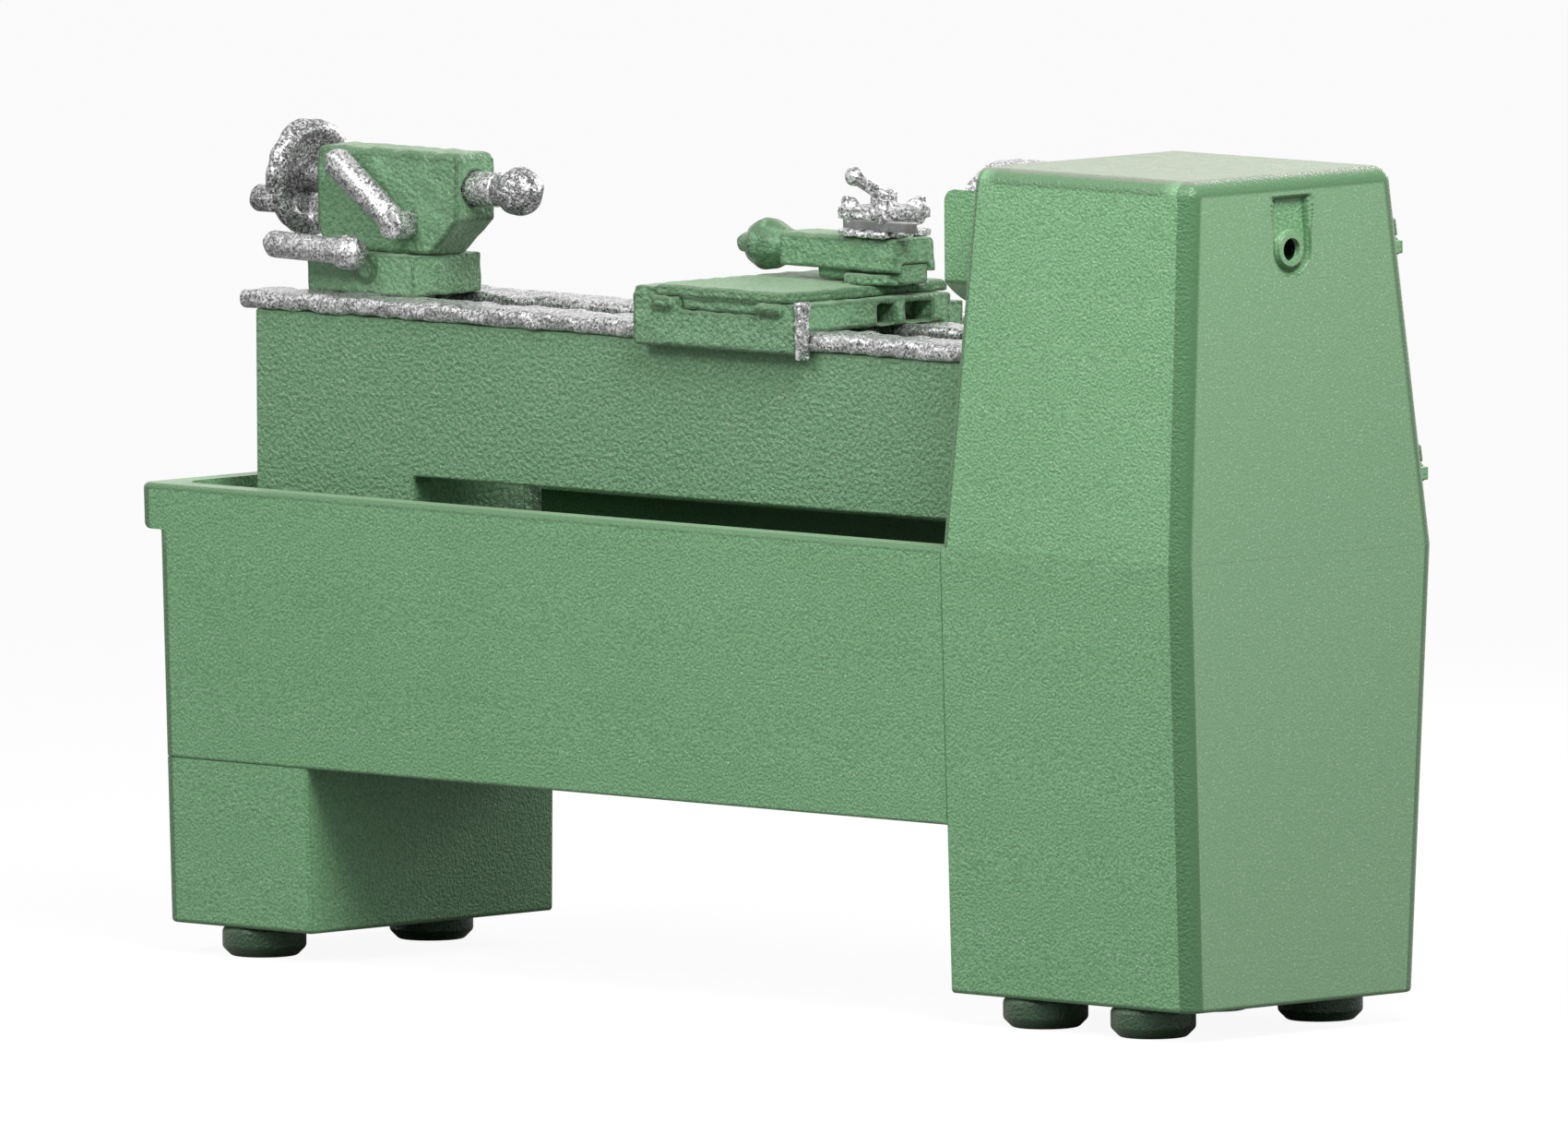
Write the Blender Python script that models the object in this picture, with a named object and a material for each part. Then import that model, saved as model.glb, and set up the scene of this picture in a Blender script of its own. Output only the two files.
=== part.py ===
"""Centre lathe on a cabinet base, one object for each separate piece.

Metres, +Z up. +X runs along the bed from the headstock to the tailstock and -Y is
the operator's side. The pieces are placed in machine coordinates, whose origin is on
the floor under the spindle axis, half way along the base. The empty "machine" then
shifts everything in Y, so that the frame's origin is the bottom centre of the box.
"""

import math

import bmesh
import bpy
from mathutils import Matrix, Vector

# ---------------------------------------------------------------- driving dimensions
GAP = 0.0003  # between faces that rest on each other
RUNNING = 0.0003  # radial clearance of a shaft in its hole
WALL = 0.014  # wall of the cast cabinets

# The base runs from the end cover's face to the tray's rim. Every other length along X
# is counted from one of its ends, so it can be made longer between the pedestals.
BASE_LENGTH = 2.200
RIM_OVERHANG = 0.036
HEAD_END = -(BASE_LENGTH + RIM_OVERHANG) / 2
TAIL_END = HEAD_END + BASE_LENGTH
RIM_END = TAIL_END + RIM_OVERHANG
RIM_HEIGHT = 0.070
RIM_TOP = 0.717
RIM_LIP = 0.050
LIP_THICKNESS = 0.022
TRAY_FLOOR_TOP = RIM_TOP - 0.103
TRAY_FLOOR = 0.014
TRAY_UNDERSIDE = RIM_TOP - 0.418
BED_HALF_WIDTH = 0.137
REAR_REACH = BED_HALF_WIDTH + 0.105
FRONT_REACH = BED_HALF_WIDTH + 0.166
REAR_DRAFT = 0.019
HEAD_FRONT_DRAFT = 0.045
TAIL_FRONT_DRAFT = 0.010
HEAD_PEDESTAL_LENGTH = 0.507
TAIL_PEDESTAL_LENGTH = 0.318
HEAD_FACE = HEAD_END + HEAD_PEDESTAL_LENGTH
TAIL_PEDESTAL_FROM = TAIL_END - TAIL_PEDESTAL_LENGTH
CORNER_RADIUS = 0.025

FOOT_HEIGHT = 0.046
FOOT_RADIUS = 0.064
FOOT_CHAMFER = 0.013
FOOT_X = (HEAD_END + 0.144, HEAD_FACE - 0.136, TAIL_END - 0.150)
FOOT_Y = (REAR_REACH - 0.083, 0.107 - FRONT_REACH)

# The bed stands in the tray and carries everything at centre height.
BED_WALL = 0.040
BED_BOTTOM = RIM_TOP + 0.029
BED_TOP = BED_BOTTOM + 0.238
BED_END = TAIL_END - 0.117
BED_FOOT_START = BED_END - 0.341
BED_RIB = 0.016
BED_RIB_TOP = BED_TOP - 0.039
BED_BAYS = 4
WAY_HEIGHT = 0.027
WAY_OUTER = BED_HALF_WIDTH + 0.008
WAY_WIDTH = 0.088
WAY_END = BED_END + 0.032
WAY_ROUND = 0.009
WAY_TOP = BED_TOP + WAY_HEIGHT

CENTRE_HEIGHT = 0.165  # of the spindle over the ways
SPINDLE_HEIGHT = WAY_TOP + CENTRE_HEIGHT
HOUSING_TOP = SPINDLE_HEIGHT + 0.113
HOUSING_REAR_DRAFT = 0.025
HOUSING_FRONT_DRAFT = 0.086
HOUSING_NOSE_DRAFT = 0.052
COVER_THICKNESS = 0.030
COVER_PLATE = 0.012
COVER_SEAM = HEAD_END + COVER_THICKNESS
GEAR_ROOM = 0.048
REAR_WALL = 0.026
REAR_WALL_X = COVER_SEAM + GEAR_ROOM
NOSE_WALL = 0.045
ROOF = 0.018

SPINDLE_BORE = 0.017
REAR_JOURNAL = 0.035
FRONT_JOURNAL = 0.0425
BEARING_WIDTH = 0.033
FRONT_BEARING_OUTER = 0.070
REAR_BEARING_OUTER = 0.060
NOSE_BOSS_RADIUS = 0.084
NOSE_BOSS_X = HEAD_FACE - 0.020
CHUCK_RADIUS = 0.105
CHUCK_LENGTH = 0.125
CHUCK_BACK = NOSE_BOSS_X + 0.001
CHUCK_FACE = CHUCK_BACK + CHUCK_LENGTH
CHUCK_BORE = 0.022
JAW_WIDTH = 0.022
JAW_OVERHANG = 0.027
JAW_GRIP = 0.024
GUARD_RADIUS = CHUCK_RADIUS + 0.011
GUARD_WALL = 0.006
GUARD_LENGTH = CHUCK_LENGTH + 0.010
GUARD_FROM = math.radians(-71)
GUARD_TO = math.radians(33)

BELT_WIDTH = 0.0314
BELT_THICKNESS = 0.006
SPINDLE_PULLEY = 0.080
MOTOR_PULLEY = 0.048
PULLEY_LIP = 0.008
PULLEY_RIM = 0.004
PULLEY_X = REAR_WALL_X + REAR_WALL + 0.049
MOTOR_Y = -0.040
MOTOR_Z = 0.300
MOTOR_RADIUS = 0.105
MOTOR_LENGTH = 0.280
MOTOR_SHAFT = 0.014

GEAR_MODULE = 0.006
SPINDLE_TEETH = 16
IDLER_TEETH = 38
LEADSCREW_TEETH = 20
GEAR_WIDTH = 0.025
GEAR_X = COVER_SEAM + 0.013
IDLER_STUD = 0.015
LEADSCREW_Y = -BED_HALF_WIDTH - 0.033
LEADSCREW_RADIUS = 0.014
FEED_ROD_RADIUS = 0.012
FEED_ROD_DROP = 0.050
ROD_END = BED_END - 0.017

# The carriage stands at its place for the start of a cut.
SADDLE_FROM = HEAD_FACE + 0.380
SADDLE_LENGTH = 0.349
SADDLE_TO = SADDLE_FROM + SADDLE_LENGTH
SADDLE_HALF_WIDTH = WAY_OUTER + 0.020
SADDLE_TOP = WAY_TOP + 0.043
SKIRT_BOTTOM = WAY_TOP - 0.033
SLIDE_GUIDE_FROM = SADDLE_FROM + 0.081
SLIDE_GUIDE_TO = SADDLE_TO - 0.098
SLIDE_GUIDE_DEPTH = 0.020
SLIDE_FROM = SADDLE_FROM + 0.026
SLIDE_TO = SADDLE_TO - 0.046
SLIDE_THICKNESS = 0.017
SLIDE_TOP = SADDLE_TOP + SLIDE_THICKNESS
SLIDE_REAR = SADDLE_HALF_WIDTH - 0.003
SLIDE_FRONT = -SADDLE_HALF_WIDTH - 0.020
APRON_FROM = SADDLE_FROM + 0.071
APRON_TO = SADDLE_TO - 0.028
APRON_FRONT = -SADDLE_HALF_WIDTH - 0.097
APRON_BACK = 0.015 - SADDLE_HALF_WIDTH
APRON_BOTTOM = WAY_TOP - 0.221
APRON_TOP = SADDLE_TOP - SLIDE_GUIDE_DEPTH - 0.002
HANDLE_TIP = APRON_FRONT - 0.090
HANDWHEEL_X = APRON_FROM + 0.070
HANDWHEEL_Z = APRON_BOTTOM + 0.060
HANDWHEEL_RADIUS = 0.080
HALFNUT_X = APRON_TO - 0.040
HALFNUT_Z = APRON_BOTTOM + 0.110
CRANK_X = (SLIDE_GUIDE_FROM + SLIDE_GUIDE_TO) / 2
CRANK_Z = SADDLE_TOP - 0.054
CRANK_ARM = 0.055

SWIVEL_X = SLIDE_FROM + 0.030
SWIVEL_Y = -0.080
SWIVEL_RADIUS = 0.062
SWIVEL_HEIGHT = 0.019
GUIDE_HALF_WIDTH = 0.029
GUIDE_HEIGHT = 0.028
TOP_SLIDE_FROM = SWIVEL_X - 0.065
TOP_SLIDE_TO = SWIVEL_X + 0.183
TOP_SLIDE_HALF_WIDTH = 0.042
TOP_SLIDE_TOP = SLIDE_TOP + 0.070
HANDLE_Z = TOP_SLIDE_TOP - 0.025
POST_SIDE = 0.100
POST_HEIGHT = 0.045
POST_SLOT = 0.022
TOOL_SIDE = 0.016
TOOL_OUT = 0.054
TOOL_SHANK = 0.095

# The tailstock stands at the tail end of the bed.
TAILSTOCK_FROM = BED_END - 0.341
TAILSTOCK_TO = TAILSTOCK_FROM + 0.303
TAILSTOCK_BASE_FROM = TAILSTOCK_FROM + 0.062
TAILSTOCK_BASE_TO = TAILSTOCK_TO - 0.011
TAILSTOCK_BASE_HALF = 0.073
TAILSTOCK_BASE_TOP = WAY_TOP + 0.061
TAILSTOCK_HALF_WIDTH = 0.040
TAILSTOCK_TOP = SPINDLE_HEIGHT + 0.054
QUILL_RADIUS = 0.026
QUILL_BORE = 0.016
QUILL_TIP = TAILSTOCK_FROM - 0.052
SCREW_SHAFT = 0.010
CENTRE_BULB = 0.037
CENTRE_X = QUILL_TIP - 0.044
TAIL_WHEEL_RADIUS = 0.089
TAIL_WHEEL_X = TAILSTOCK_TO + 0.040
QUILL_LEVER_X = TAILSTOCK_FROM + 0.104
QUILL_LEVER_Z = SPINDLE_HEIGHT - 0.057
QUILL_LEVER_REACH = (0.125, 0.088)
CLAMP_X = TAILSTOCK_BASE_FROM + 0.104
CLAMP_Z = TAILSTOCK_BASE_TOP + 0.004
CLAMP_Y = TAILSTOCK_BASE_HALF + 0.023
CLAMP_LENGTH = 0.174
CLAMP_SEAT = CLAMP_Y - 0.0195
CLAMP_PLATE = 0.022

PANEL_FROM = COVER_SEAM + 0.088
PANEL_TO = PANEL_FROM + 0.240
PANEL_BOTTOM = RIM_TOP + 0.223
PANEL_TOP = PANEL_BOTTOM + 0.140
PANEL_FRONT = 0.003 - FRONT_REACH
BUTTON_Z = PANEL_TOP - 0.050
BUTTON_TRAVEL = 0.005
SPEED_LEVER_X = COVER_SEAM + 0.228
SPEED_LEVER_Z = HOUSING_TOP - 0.109
SPEED_BOSS_FRONT = 0.041 - FRONT_REACH

# ---------------------------------------------------------------- derived places
ORIGIN_SHIFT = -(REAR_REACH + HANDLE_TIP) / 2
SPINDLE_PITCH = GEAR_MODULE * SPINDLE_TEETH / 2
IDLER_PITCH = GEAR_MODULE * IDLER_TEETH / 2
LEADSCREW_PITCH = GEAR_MODULE * LEADSCREW_TEETH / 2
TRAIN_LENGTH = SPINDLE_PITCH + 2 * IDLER_PITCH + LEADSCREW_PITCH
TRAIN_ANGLE = -math.acos(LEADSCREW_Y / TRAIN_LENGTH)
LEADSCREW_Z = SPINDLE_HEIGHT + TRAIN_LENGTH * math.sin(TRAIN_ANGLE)
FEED_ROD_Z = LEADSCREW_Z - FEED_ROD_DROP
IDLER_REACH = SPINDLE_PITCH + IDLER_PITCH
IDLER_Y = IDLER_REACH * math.cos(TRAIN_ANGLE)
IDLER_Z = SPINDLE_HEIGHT + IDLER_REACH * math.sin(TRAIN_ANGLE)

GREEN = (0.125, 0.262, 0.137)
DARK_GREEN = (0.090, 0.190, 0.100)
SILVER = (0.420, 0.420, 0.430)
STEEL = (0.350, 0.350, 0.360)
BLACK = (0.020, 0.020, 0.020)
RED = (0.500, 0.020, 0.015)

machine = None


# ---------------------------------------------------------------- helpers
def material(name, colour, metallic=0.0, roughness=0.5):
    """A Principled material in one colour."""
    made = bpy.data.materials.new(name)
    made.use_nodes = True
    shader = made.node_tree.nodes["Principled BSDF"]
    shader.inputs["Base Color"].default_value = (*colour, 1.0)
    shader.inputs["Metallic"].default_value = metallic
    shader.inputs["Roughness"].default_value = roughness
    return made


def enamel(name, colour=GREEN):
    return material(name, colour, 0.0, 0.45)


def metal(name, colour=SILVER):
    return material(name, colour, 0.8, 0.40)


def body(name, pivot=(0.0, 0.0, 0.0), parent=None):
    """An empty on the body's joint axis, at a point given in machine coordinates."""
    empty = bpy.data.objects.new(name, None)
    bpy.context.scene.collection.objects.link(empty)
    empty.parent = parent or machine
    empty["pivot"] = pivot
    origin = parent["pivot"] if parent else (0.0, 0.0, 0.0)
    empty.location = Vector(pivot) - Vector(origin)
    return empty


def new_object(name, shape, owner):
    """An object from a bmesh in machine coordinates, with its origin on its body."""
    shape.transform(Matrix.Translation(-Vector(owner["pivot"])))
    bmesh.ops.recalc_face_normals(shape, faces=shape.faces[:])
    mesh = bpy.data.meshes.new(name)
    shape.to_mesh(mesh)
    shape.free()
    made = bpy.data.objects.new(name, mesh)
    bpy.context.scene.collection.objects.link(made)
    made.parent = owner
    return made


def piece(name, shape, owner, finish, smooth=True):
    """One sub-part of the machine."""
    made = new_object(name, shape, owner)
    made.data.materials.append(finish)
    if smooth:
        made.data.shade_smooth()
        made.data.set_sharp_from_angle(angle=math.radians(32))
    return made


def boolean(target, shape, operation):
    """Adds a helper solid and the modifier that joins it to the target or cuts it."""
    helper = new_object(f"{target.name}_{operation.lower()}", shape, target.parent)
    helper.hide_render = True
    helper.display_type = "WIRE"
    modifier = target.modifiers.new(helper.name, "BOOLEAN")
    modifier.operation = operation
    modifier.solver = "EXACT"
    modifier.object = helper
    return target


def cut(target, *shapes):
    for shape in shapes:
        boolean(target, shape, "DIFFERENCE")
    return target


def join(target, *shapes):
    for shape in shapes:
        boolean(target, shape, "UNION")
    return target


def hole(radius, sides=24):
    """The radius of a many-sided hole whose flats clear a shaft that turns in it."""
    return (radius + RUNNING) / math.cos(math.pi / sides)


def frustum(low, low_z, high, high_z):
    """A solid between two upright rectangles (x0, x1, y0, y1), one above the other."""
    shape = bmesh.new()
    rings = []
    for (x0, x1, y0, y1), z in ((low, low_z), (high, high_z)):
        corners = ((x0, y0), (x1, y0), (x1, y1), (x0, y1))
        rings.append([shape.verts.new((x, y, z)) for x, y in corners])
    shape.faces.new(rings[0][::-1])
    shape.faces.new(rings[1])
    for i in range(4):
        j = (i + 1) % 4
        shape.faces.new((rings[0][i], rings[0][j], rings[1][j], rings[1][i]))
    return shape


def box(x, y, z):
    """A block from three (low, high) pairs."""
    return frustum((*x, *y), z[0], (*x, *y), z[1])


def extruded(outline, low, high, axis):
    """An outline pushed along an axis. Its points are (y, z), (x, z) or (x, y)."""
    place = {
        "X": lambda u, v, w: (w, u, v),
        "Y": lambda u, v, w: (u, w, v),
        "Z": lambda u, v, w: (u, v, w),
    }[axis]
    shape = bmesh.new()
    ends = [[shape.verts.new(place(u, v, w)) for u, v in outline] for w in (low, high)]
    shape.faces.new(ends[0])
    shape.faces.new(ends[1])
    for i in range(len(outline)):
        j = (i + 1) % len(outline)
        shape.faces.new((ends[0][i], ends[0][j], ends[1][j], ends[1][i]))
    return shape


def turned(profile, centre=(0.0, 0.0, 0.0), axis="X", sides=24, start=0.0, ring=False):
    """A profile of (along, radius) points turned about an axis through the centre.

    A ring's profile is a closed loop clear of the axis. Any other profile starts and
    ends on the axis.
    """
    place = {
        "X": lambda a, c, s: (a, c, s),
        "Y": lambda a, c, s: (c, a, s),
        "Z": lambda a, c, s: (c, s, a),
    }[axis]
    shape = bmesh.new()
    origin = Vector(centre)
    loops = []
    for along, radius in profile:
        angles = [start + math.tau * k / sides for k in range(sides)] if radius else [0.0]
        loops.append(
            [
                shape.verts.new(
                    origin + Vector(place(along, radius * math.cos(a), radius * math.sin(a)))
                )
                for a in angles
            ]
        )
    pairs = list(zip(loops, loops[1:]))
    if ring:
        pairs.append((loops[-1], loops[0]))
    for first, second in pairs:
        for k in range(sides):
            n = (k + 1) % sides
            corners = [first[k % len(first)], first[n % len(first)]]
            corners += [second[n % len(second)], second[k % len(second)]]
            corners = list(dict.fromkeys(corners))
            if len(corners) > 2:
                shape.faces.new(corners)
    return shape


def rod(start, end, radius, centre=(0.0, 0.0, 0.0), axis="X", sides=24):
    """A plain cylinder between two places along an axis."""
    profile = [(start, 0.0), (start, radius), (end, radius), (end, 0.0)]
    return turned(profile, centre, axis, sides)


def tube(start, end, outer, inner, centre=(0.0, 0.0, 0.0), axis="X", sides=24):
    profile = [(start, inner), (start, outer), (end, outer), (end, inner)]
    return turned(profile, centre, axis, sides, ring=True)


def along_line(shape, start, end):
    """Moves a shape that was made along +X from the origin onto a line."""
    direction = Vector(end) - Vector(start)
    turn = Vector((1.0, 0.0, 0.0)).rotation_difference(direction)
    shape.transform(Matrix.Translation(start) @ turn.to_matrix().to_4x4())
    return shape


def bar(start, end, radius, sides=16, end_radius=None):
    """A round bar between two points, tapered when end_radius is given."""
    length = (Vector(end) - Vector(start)).length
    last = end_radius or radius
    shape = turned([(0.0, 0.0), (0.0, radius), (length, last), (length, 0.0)], sides=sides)
    return along_line(shape, start, end)


def ball(centre, radius, sides=16, rings=8):
    profile = [
        (-radius * math.cos(math.pi * k / rings), radius * math.sin(math.pi * k / rings))
        for k in range(1, rings)
    ]
    profile = [(-radius, 0.0)] + profile + [(radius, 0.0)]
    return turned(profile, centre, "X", sides)


def rounded(shape, radius, segments, chosen):
    """Rounds the edges whose two ends both pass a test."""
    edges = [e for e in shape.edges if chosen(e.verts[0].co, e.verts[1].co)]
    bmesh.ops.bevel(
        shape,
        geom=edges,
        offset=radius,
        offset_type="OFFSET",
        segments=segments,
        profile=0.5,
        affect="EDGES",
        clamp_overlap=True,
    )
    return shape


def blend(z, low_z, low, high_z, high):
    """The value at height z on a straight line between two heights."""
    return low + (high - low) * (z - low_z) / (high_z - low_z)


def rear_face(z):
    if z < RIM_TOP:
        return blend(z, FOOT_HEIGHT, REAR_REACH - REAR_DRAFT, RIM_TOP, REAR_REACH)
    return blend(z, RIM_TOP, REAR_REACH, HOUSING_TOP, REAR_REACH - HOUSING_REAR_DRAFT)


def front_face(z, draft=HEAD_FRONT_DRAFT):
    if z < RIM_TOP:
        return blend(z, FOOT_HEIGHT, -FRONT_REACH + draft, RIM_TOP, -FRONT_REACH)
    return blend(z, RIM_TOP, -FRONT_REACH, HOUSING_TOP, HOUSING_FRONT_DRAFT - FRONT_REACH)


def nose_face(z):
    """X of the headstock's sloping chuck-side face."""
    return blend(z, RIM_TOP, HEAD_FACE, HOUSING_TOP, HEAD_FACE - HOUSING_NOSE_DRAFT)


def cabinet(x, low_z, high_z, inset=0.0, draft=HEAD_FRONT_DRAFT):
    """A block that follows the drafted front and rear faces, x as ((x0, x1), (x0, x1))."""
    low, high = (
        (*ends, front_face(z, draft) + inset, rear_face(z) - inset)
        for ends, z in zip(x, (low_z, high_z))
    )
    return frustum(low, low_z, high, high_z)


def upright_at(x):
    """A test for the upright edges at one end of a cabinet."""
    return lambda a, b: abs(a.x - x) < 1e-4 and abs(b.x - x) < 1e-4 and abs(a.z - b.z) > 0.02


def gear(name, owner, finish, teeth, bore, centre, phase):
    """A spur gear on X with its bore. One tooth points at the phase angle."""
    pitch = GEAR_MODULE * teeth / 2
    root = pitch - 1.15 * GEAR_MODULE
    tip = pitch + 0.75 * GEAR_MODULE
    outline = []
    for tooth in range(teeth):
        for share, radius in ((-0.34, root), (-0.13, tip), (0.13, tip), (0.34, root)):
            angle = phase + math.tau * (tooth + share) / teeth
            y = centre[0] + radius * math.cos(angle)
            outline.append((y, centre[1] + radius * math.sin(angle)))
    made = piece(name, extruded(outline, GEAR_X, GEAR_X + GEAR_WIDTH, "X"), owner, finish, False)
    ends = (GEAR_X - 0.01, GEAR_X + GEAR_WIDTH + 0.01)
    return cut(made, rod(*ends, bore, (0, *centre), sides=20))


def spun_wheel(axis, centre, rim_start, rim_width, radius, rim, hub, hub_start, hub_end):
    """A handwheel: a rounded rim, a thin disc and a hub, turned as one profile."""
    middle = rim_start + rim_width / 2
    web = rim_width / 5
    inner = radius - rim
    profile = [
        (hub_start, 0.0),
        (hub_start, hub),
        (middle - web, hub),
        (middle - web, inner),
        (rim_start, inner + rim * 0.25),
        (rim_start, radius - rim * 0.25),
        (rim_start + rim_width * 0.25, radius),
        (rim_start + rim_width * 0.75, radius),
        (rim_start + rim_width, radius - rim * 0.25),
        (rim_start + rim_width, inner + rim * 0.25),
        (middle + web, inner),
        (middle + web, hub),
        (hub_end, hub),
        (hub_end, 0.0),
    ]
    return turned(profile, centre, axis, 24)


# ---------------------------------------------------------------- base
def make_base(base):
    """Two hollow pedestals, the tray between them and the six feet."""
    floor = FOOT_HEIGHT + WALL
    x = (HEAD_END, HEAD_FACE)
    outer = cabinet((x, x), FOOT_HEIGHT, RIM_TOP)
    rounded(outer, CORNER_RADIUS, 3, upright_at(HEAD_END))
    pedestal = piece("headstock_pedestal", outer, base, enamel("pedestal_enamel"))
    x = (HEAD_END + WALL, HEAD_FACE - WALL)
    cut(pedestal, cabinet((x, x), floor, RIM_TOP + 0.0001, WALL))

    top = TRAY_UNDERSIDE - GAP
    x = (TAIL_PEDESTAL_FROM, TAIL_END)
    outer = cabinet((x, x), FOOT_HEIGHT, top, 0.0, TAIL_FRONT_DRAFT)
    rounded(outer, CORNER_RADIUS, 3, upright_at(TAIL_END))
    pedestal = piece("tailstock_pedestal", outer, base, enamel("tail_enamel"))
    x = (TAIL_PEDESTAL_FROM + WALL, TAIL_END - WALL)
    cut(pedestal, cabinet((x, x), floor, top + 0.0001, WALL, TAIL_FRONT_DRAFT))

    profile = [
        (0.0, 0.0),
        (0.0, FOOT_RADIUS - FOOT_CHAMFER),
        (FOOT_CHAMFER, FOOT_RADIUS),
        (FOOT_HEIGHT - GAP, FOOT_RADIUS),
        (FOOT_HEIGHT - GAP, 0.0),
    ]
    rubber = material("foot_enamel", DARK_GREEN, 0.0, 0.6)
    number = 1
    for x in FOOT_X:
        for y in FOOT_Y:
            foot = turned(profile, (x, y, 0.0), "Z", 24)
            piece(f"levelling_foot_{number}", foot, base, rubber)
            number += 1


def make_tray(base):
    """The chip tray: side walls down to the pedestals and a floor below its lips."""
    head = HEAD_FACE + GAP
    draft = TAIL_FRONT_DRAFT
    outer = cabinet(((head, TAIL_END), (head, TAIL_END)), TRAY_UNDERSIDE, RIM_TOP, 0.0, draft)
    rounded(outer, CORNER_RADIUS, 3, upright_at(TAIL_END))
    tray = piece("chip_tray", outer, base, enamel("tray_enamel"))
    rim_bottom = RIM_TOP - RIM_HEIGHT
    x = (TAIL_END - 2 * CORNER_RADIUS, RIM_END)
    rim = cabinet((x, x), rim_bottom, RIM_TOP, 0.0, draft)
    rounded(rim, CORNER_RADIUS, 3, upright_at(RIM_END))
    join(tray, rim)
    x = (head + WALL, RIM_END - RIM_LIP)
    lip = RIM_TOP - LIP_THICKNESS
    cut(
        tray,
        cabinet((x, x), TRAY_FLOOR_TOP, lip, WALL, draft),
        cabinet((x, x), lip - 0.001, RIM_TOP + 0.0001, RIM_LIP, draft),
    )
    x = (head + WALL, TAIL_END - WALL)
    below = TRAY_UNDERSIDE - 0.0001
    cut(tray, cabinet((x, x), below, TRAY_FLOOR_TOP - TRAY_FLOOR, WALL, draft))


def make_bed(base):
    """The bed: two walls with cross ribs, a foot at its tail end and two ways on top."""
    foot_bottom = TRAY_FLOOR_TOP + GAP
    outline = [
        (nose_face(BED_BOTTOM) + GAP, BED_BOTTOM),
        (BED_FOOT_START, BED_BOTTOM),
        (BED_FOOT_START, foot_bottom),
        (BED_END, foot_bottom),
        (BED_END, BED_TOP),
        (nose_face(BED_TOP) + GAP, BED_TOP),
    ]
    shape = extruded(outline, -BED_HALF_WIDTH, BED_HALF_WIDTH, "Y")
    bed = piece("bed_casting", shape, base, enamel("bed_enamel"))
    inside = (BED_WALL - BED_HALF_WIDTH, BED_HALF_WIDTH - BED_WALL)
    first = nose_face(BED_BOTTOM) + 1.5 * BED_RIB
    room = BED_FOOT_START - BED_RIB / 2 - first
    bay = (room - (BED_BAYS - 1) * BED_RIB) / BED_BAYS
    for number in range(BED_BAYS):
        start = first + number * (bay + BED_RIB)
        cut(bed, box((start, start + bay), inside, (BED_BOTTOM - 0.01, BED_TOP + 0.01)))
    pocket = (BED_FOOT_START + BED_RIB / 2, BED_END - BED_RIB)
    cut(bed, box(pocket, inside, (foot_bottom + BED_RIB, BED_TOP + 0.01)))
    over_ribs = (first + 0.001, pocket[1] - 0.001)
    cut(bed, box(over_ribs, (inside[0] + 0.001, inside[1] - 0.001), (BED_RIB_TOP, BED_TOP + 0.01)))

    silver = metal("way_silver")
    for name, side in (("rear_way", 1), ("front_way", -1)):
        y = sorted((side * WAY_OUTER, side * (WAY_OUTER - WAY_WIDTH)))
        x = (nose_face(BED_TOP) + 2 * GAP, WAY_END)
        shape = box(x, y, (BED_TOP + GAP, WAY_TOP))
        rounded(shape, WAY_ROUND, 2, lambda a, b: abs(a.x - b.x) > 0.1 or (a.x + b.x) > 1.9 * WAY_END)
        piece(name, shape, base, silver)


# ---------------------------------------------------------------- headstock
def make_housing(base):
    """The hollow headstock, open below, with two bearing walls and a gear room."""
    low = RIM_TOP + GAP
    x = (COVER_SEAM, nose_face(low)), (COVER_SEAM, nose_face(HOUSING_TOP))
    outer = cabinet(x, low, HOUSING_TOP)

    def soft(a, b):
        top = a.z > HOUSING_TOP - 1e-4 and b.z > HOUSING_TOP - 1e-4
        seam = a.x < COVER_SEAM + 1e-4 and b.x < COVER_SEAM + 1e-4
        return top and not seam

    rounded(outer, CORNER_RADIUS, 3, soft)
    housing = piece("headstock_housing", outer, base, enamel("housing_enamel"))
    boss = rod(NOSE_BOSS_X - 0.07, NOSE_BOSS_X, NOSE_BOSS_RADIUS, (0, 0, SPINDLE_HEIGHT))
    speed_boss = rod(
        SPEED_BOSS_FRONT, SPEED_BOSS_FRONT + 0.06, 0.034, (SPEED_LEVER_X, 0, SPEED_LEVER_Z), "Y"
    )
    join(housing, boss, speed_boss)

    roof = HOUSING_TOP - ROOF
    under = low - 0.0001
    x = (COVER_SEAM - 0.0001, REAR_WALL_X)
    gear_room = cabinet((x, x), under, roof, WALL)
    first = REAR_WALL_X + REAR_WALL
    x = (first, nose_face(under) - NOSE_WALL), (first, nose_face(roof) - NOSE_WALL)
    main_room = cabinet(x, under, roof, WALL)
    axis = (0, 0, SPINDLE_HEIGHT)
    front_bore = rod(HEAD_FACE - 0.119, NOSE_BOSS_X + 0.01, FRONT_BEARING_OUTER, axis)
    rear_bore = rod(REAR_WALL_X - 0.01, first + 0.01, REAR_BEARING_OUTER, axis)
    screw = (0, LEADSCREW_Y, LEADSCREW_Z)
    screw_bore = rod(REAR_WALL_X - 0.01, HEAD_FACE + 0.01, hole(LEADSCREW_RADIUS, 20), screw, sides=20)
    cut(housing, gear_room, main_room, front_bore, rear_bore, screw_bore)
    stud = rod(GEAR_X - 0.004, REAR_WALL_X + 0.01, IDLER_STUD, (0, IDLER_Y, IDLER_Z), sides=20)
    join(housing, stud)
    for share in (0.16, 0.76):
        join(housing, *knuckle(share + 0.05, 1))
    return housing


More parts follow.
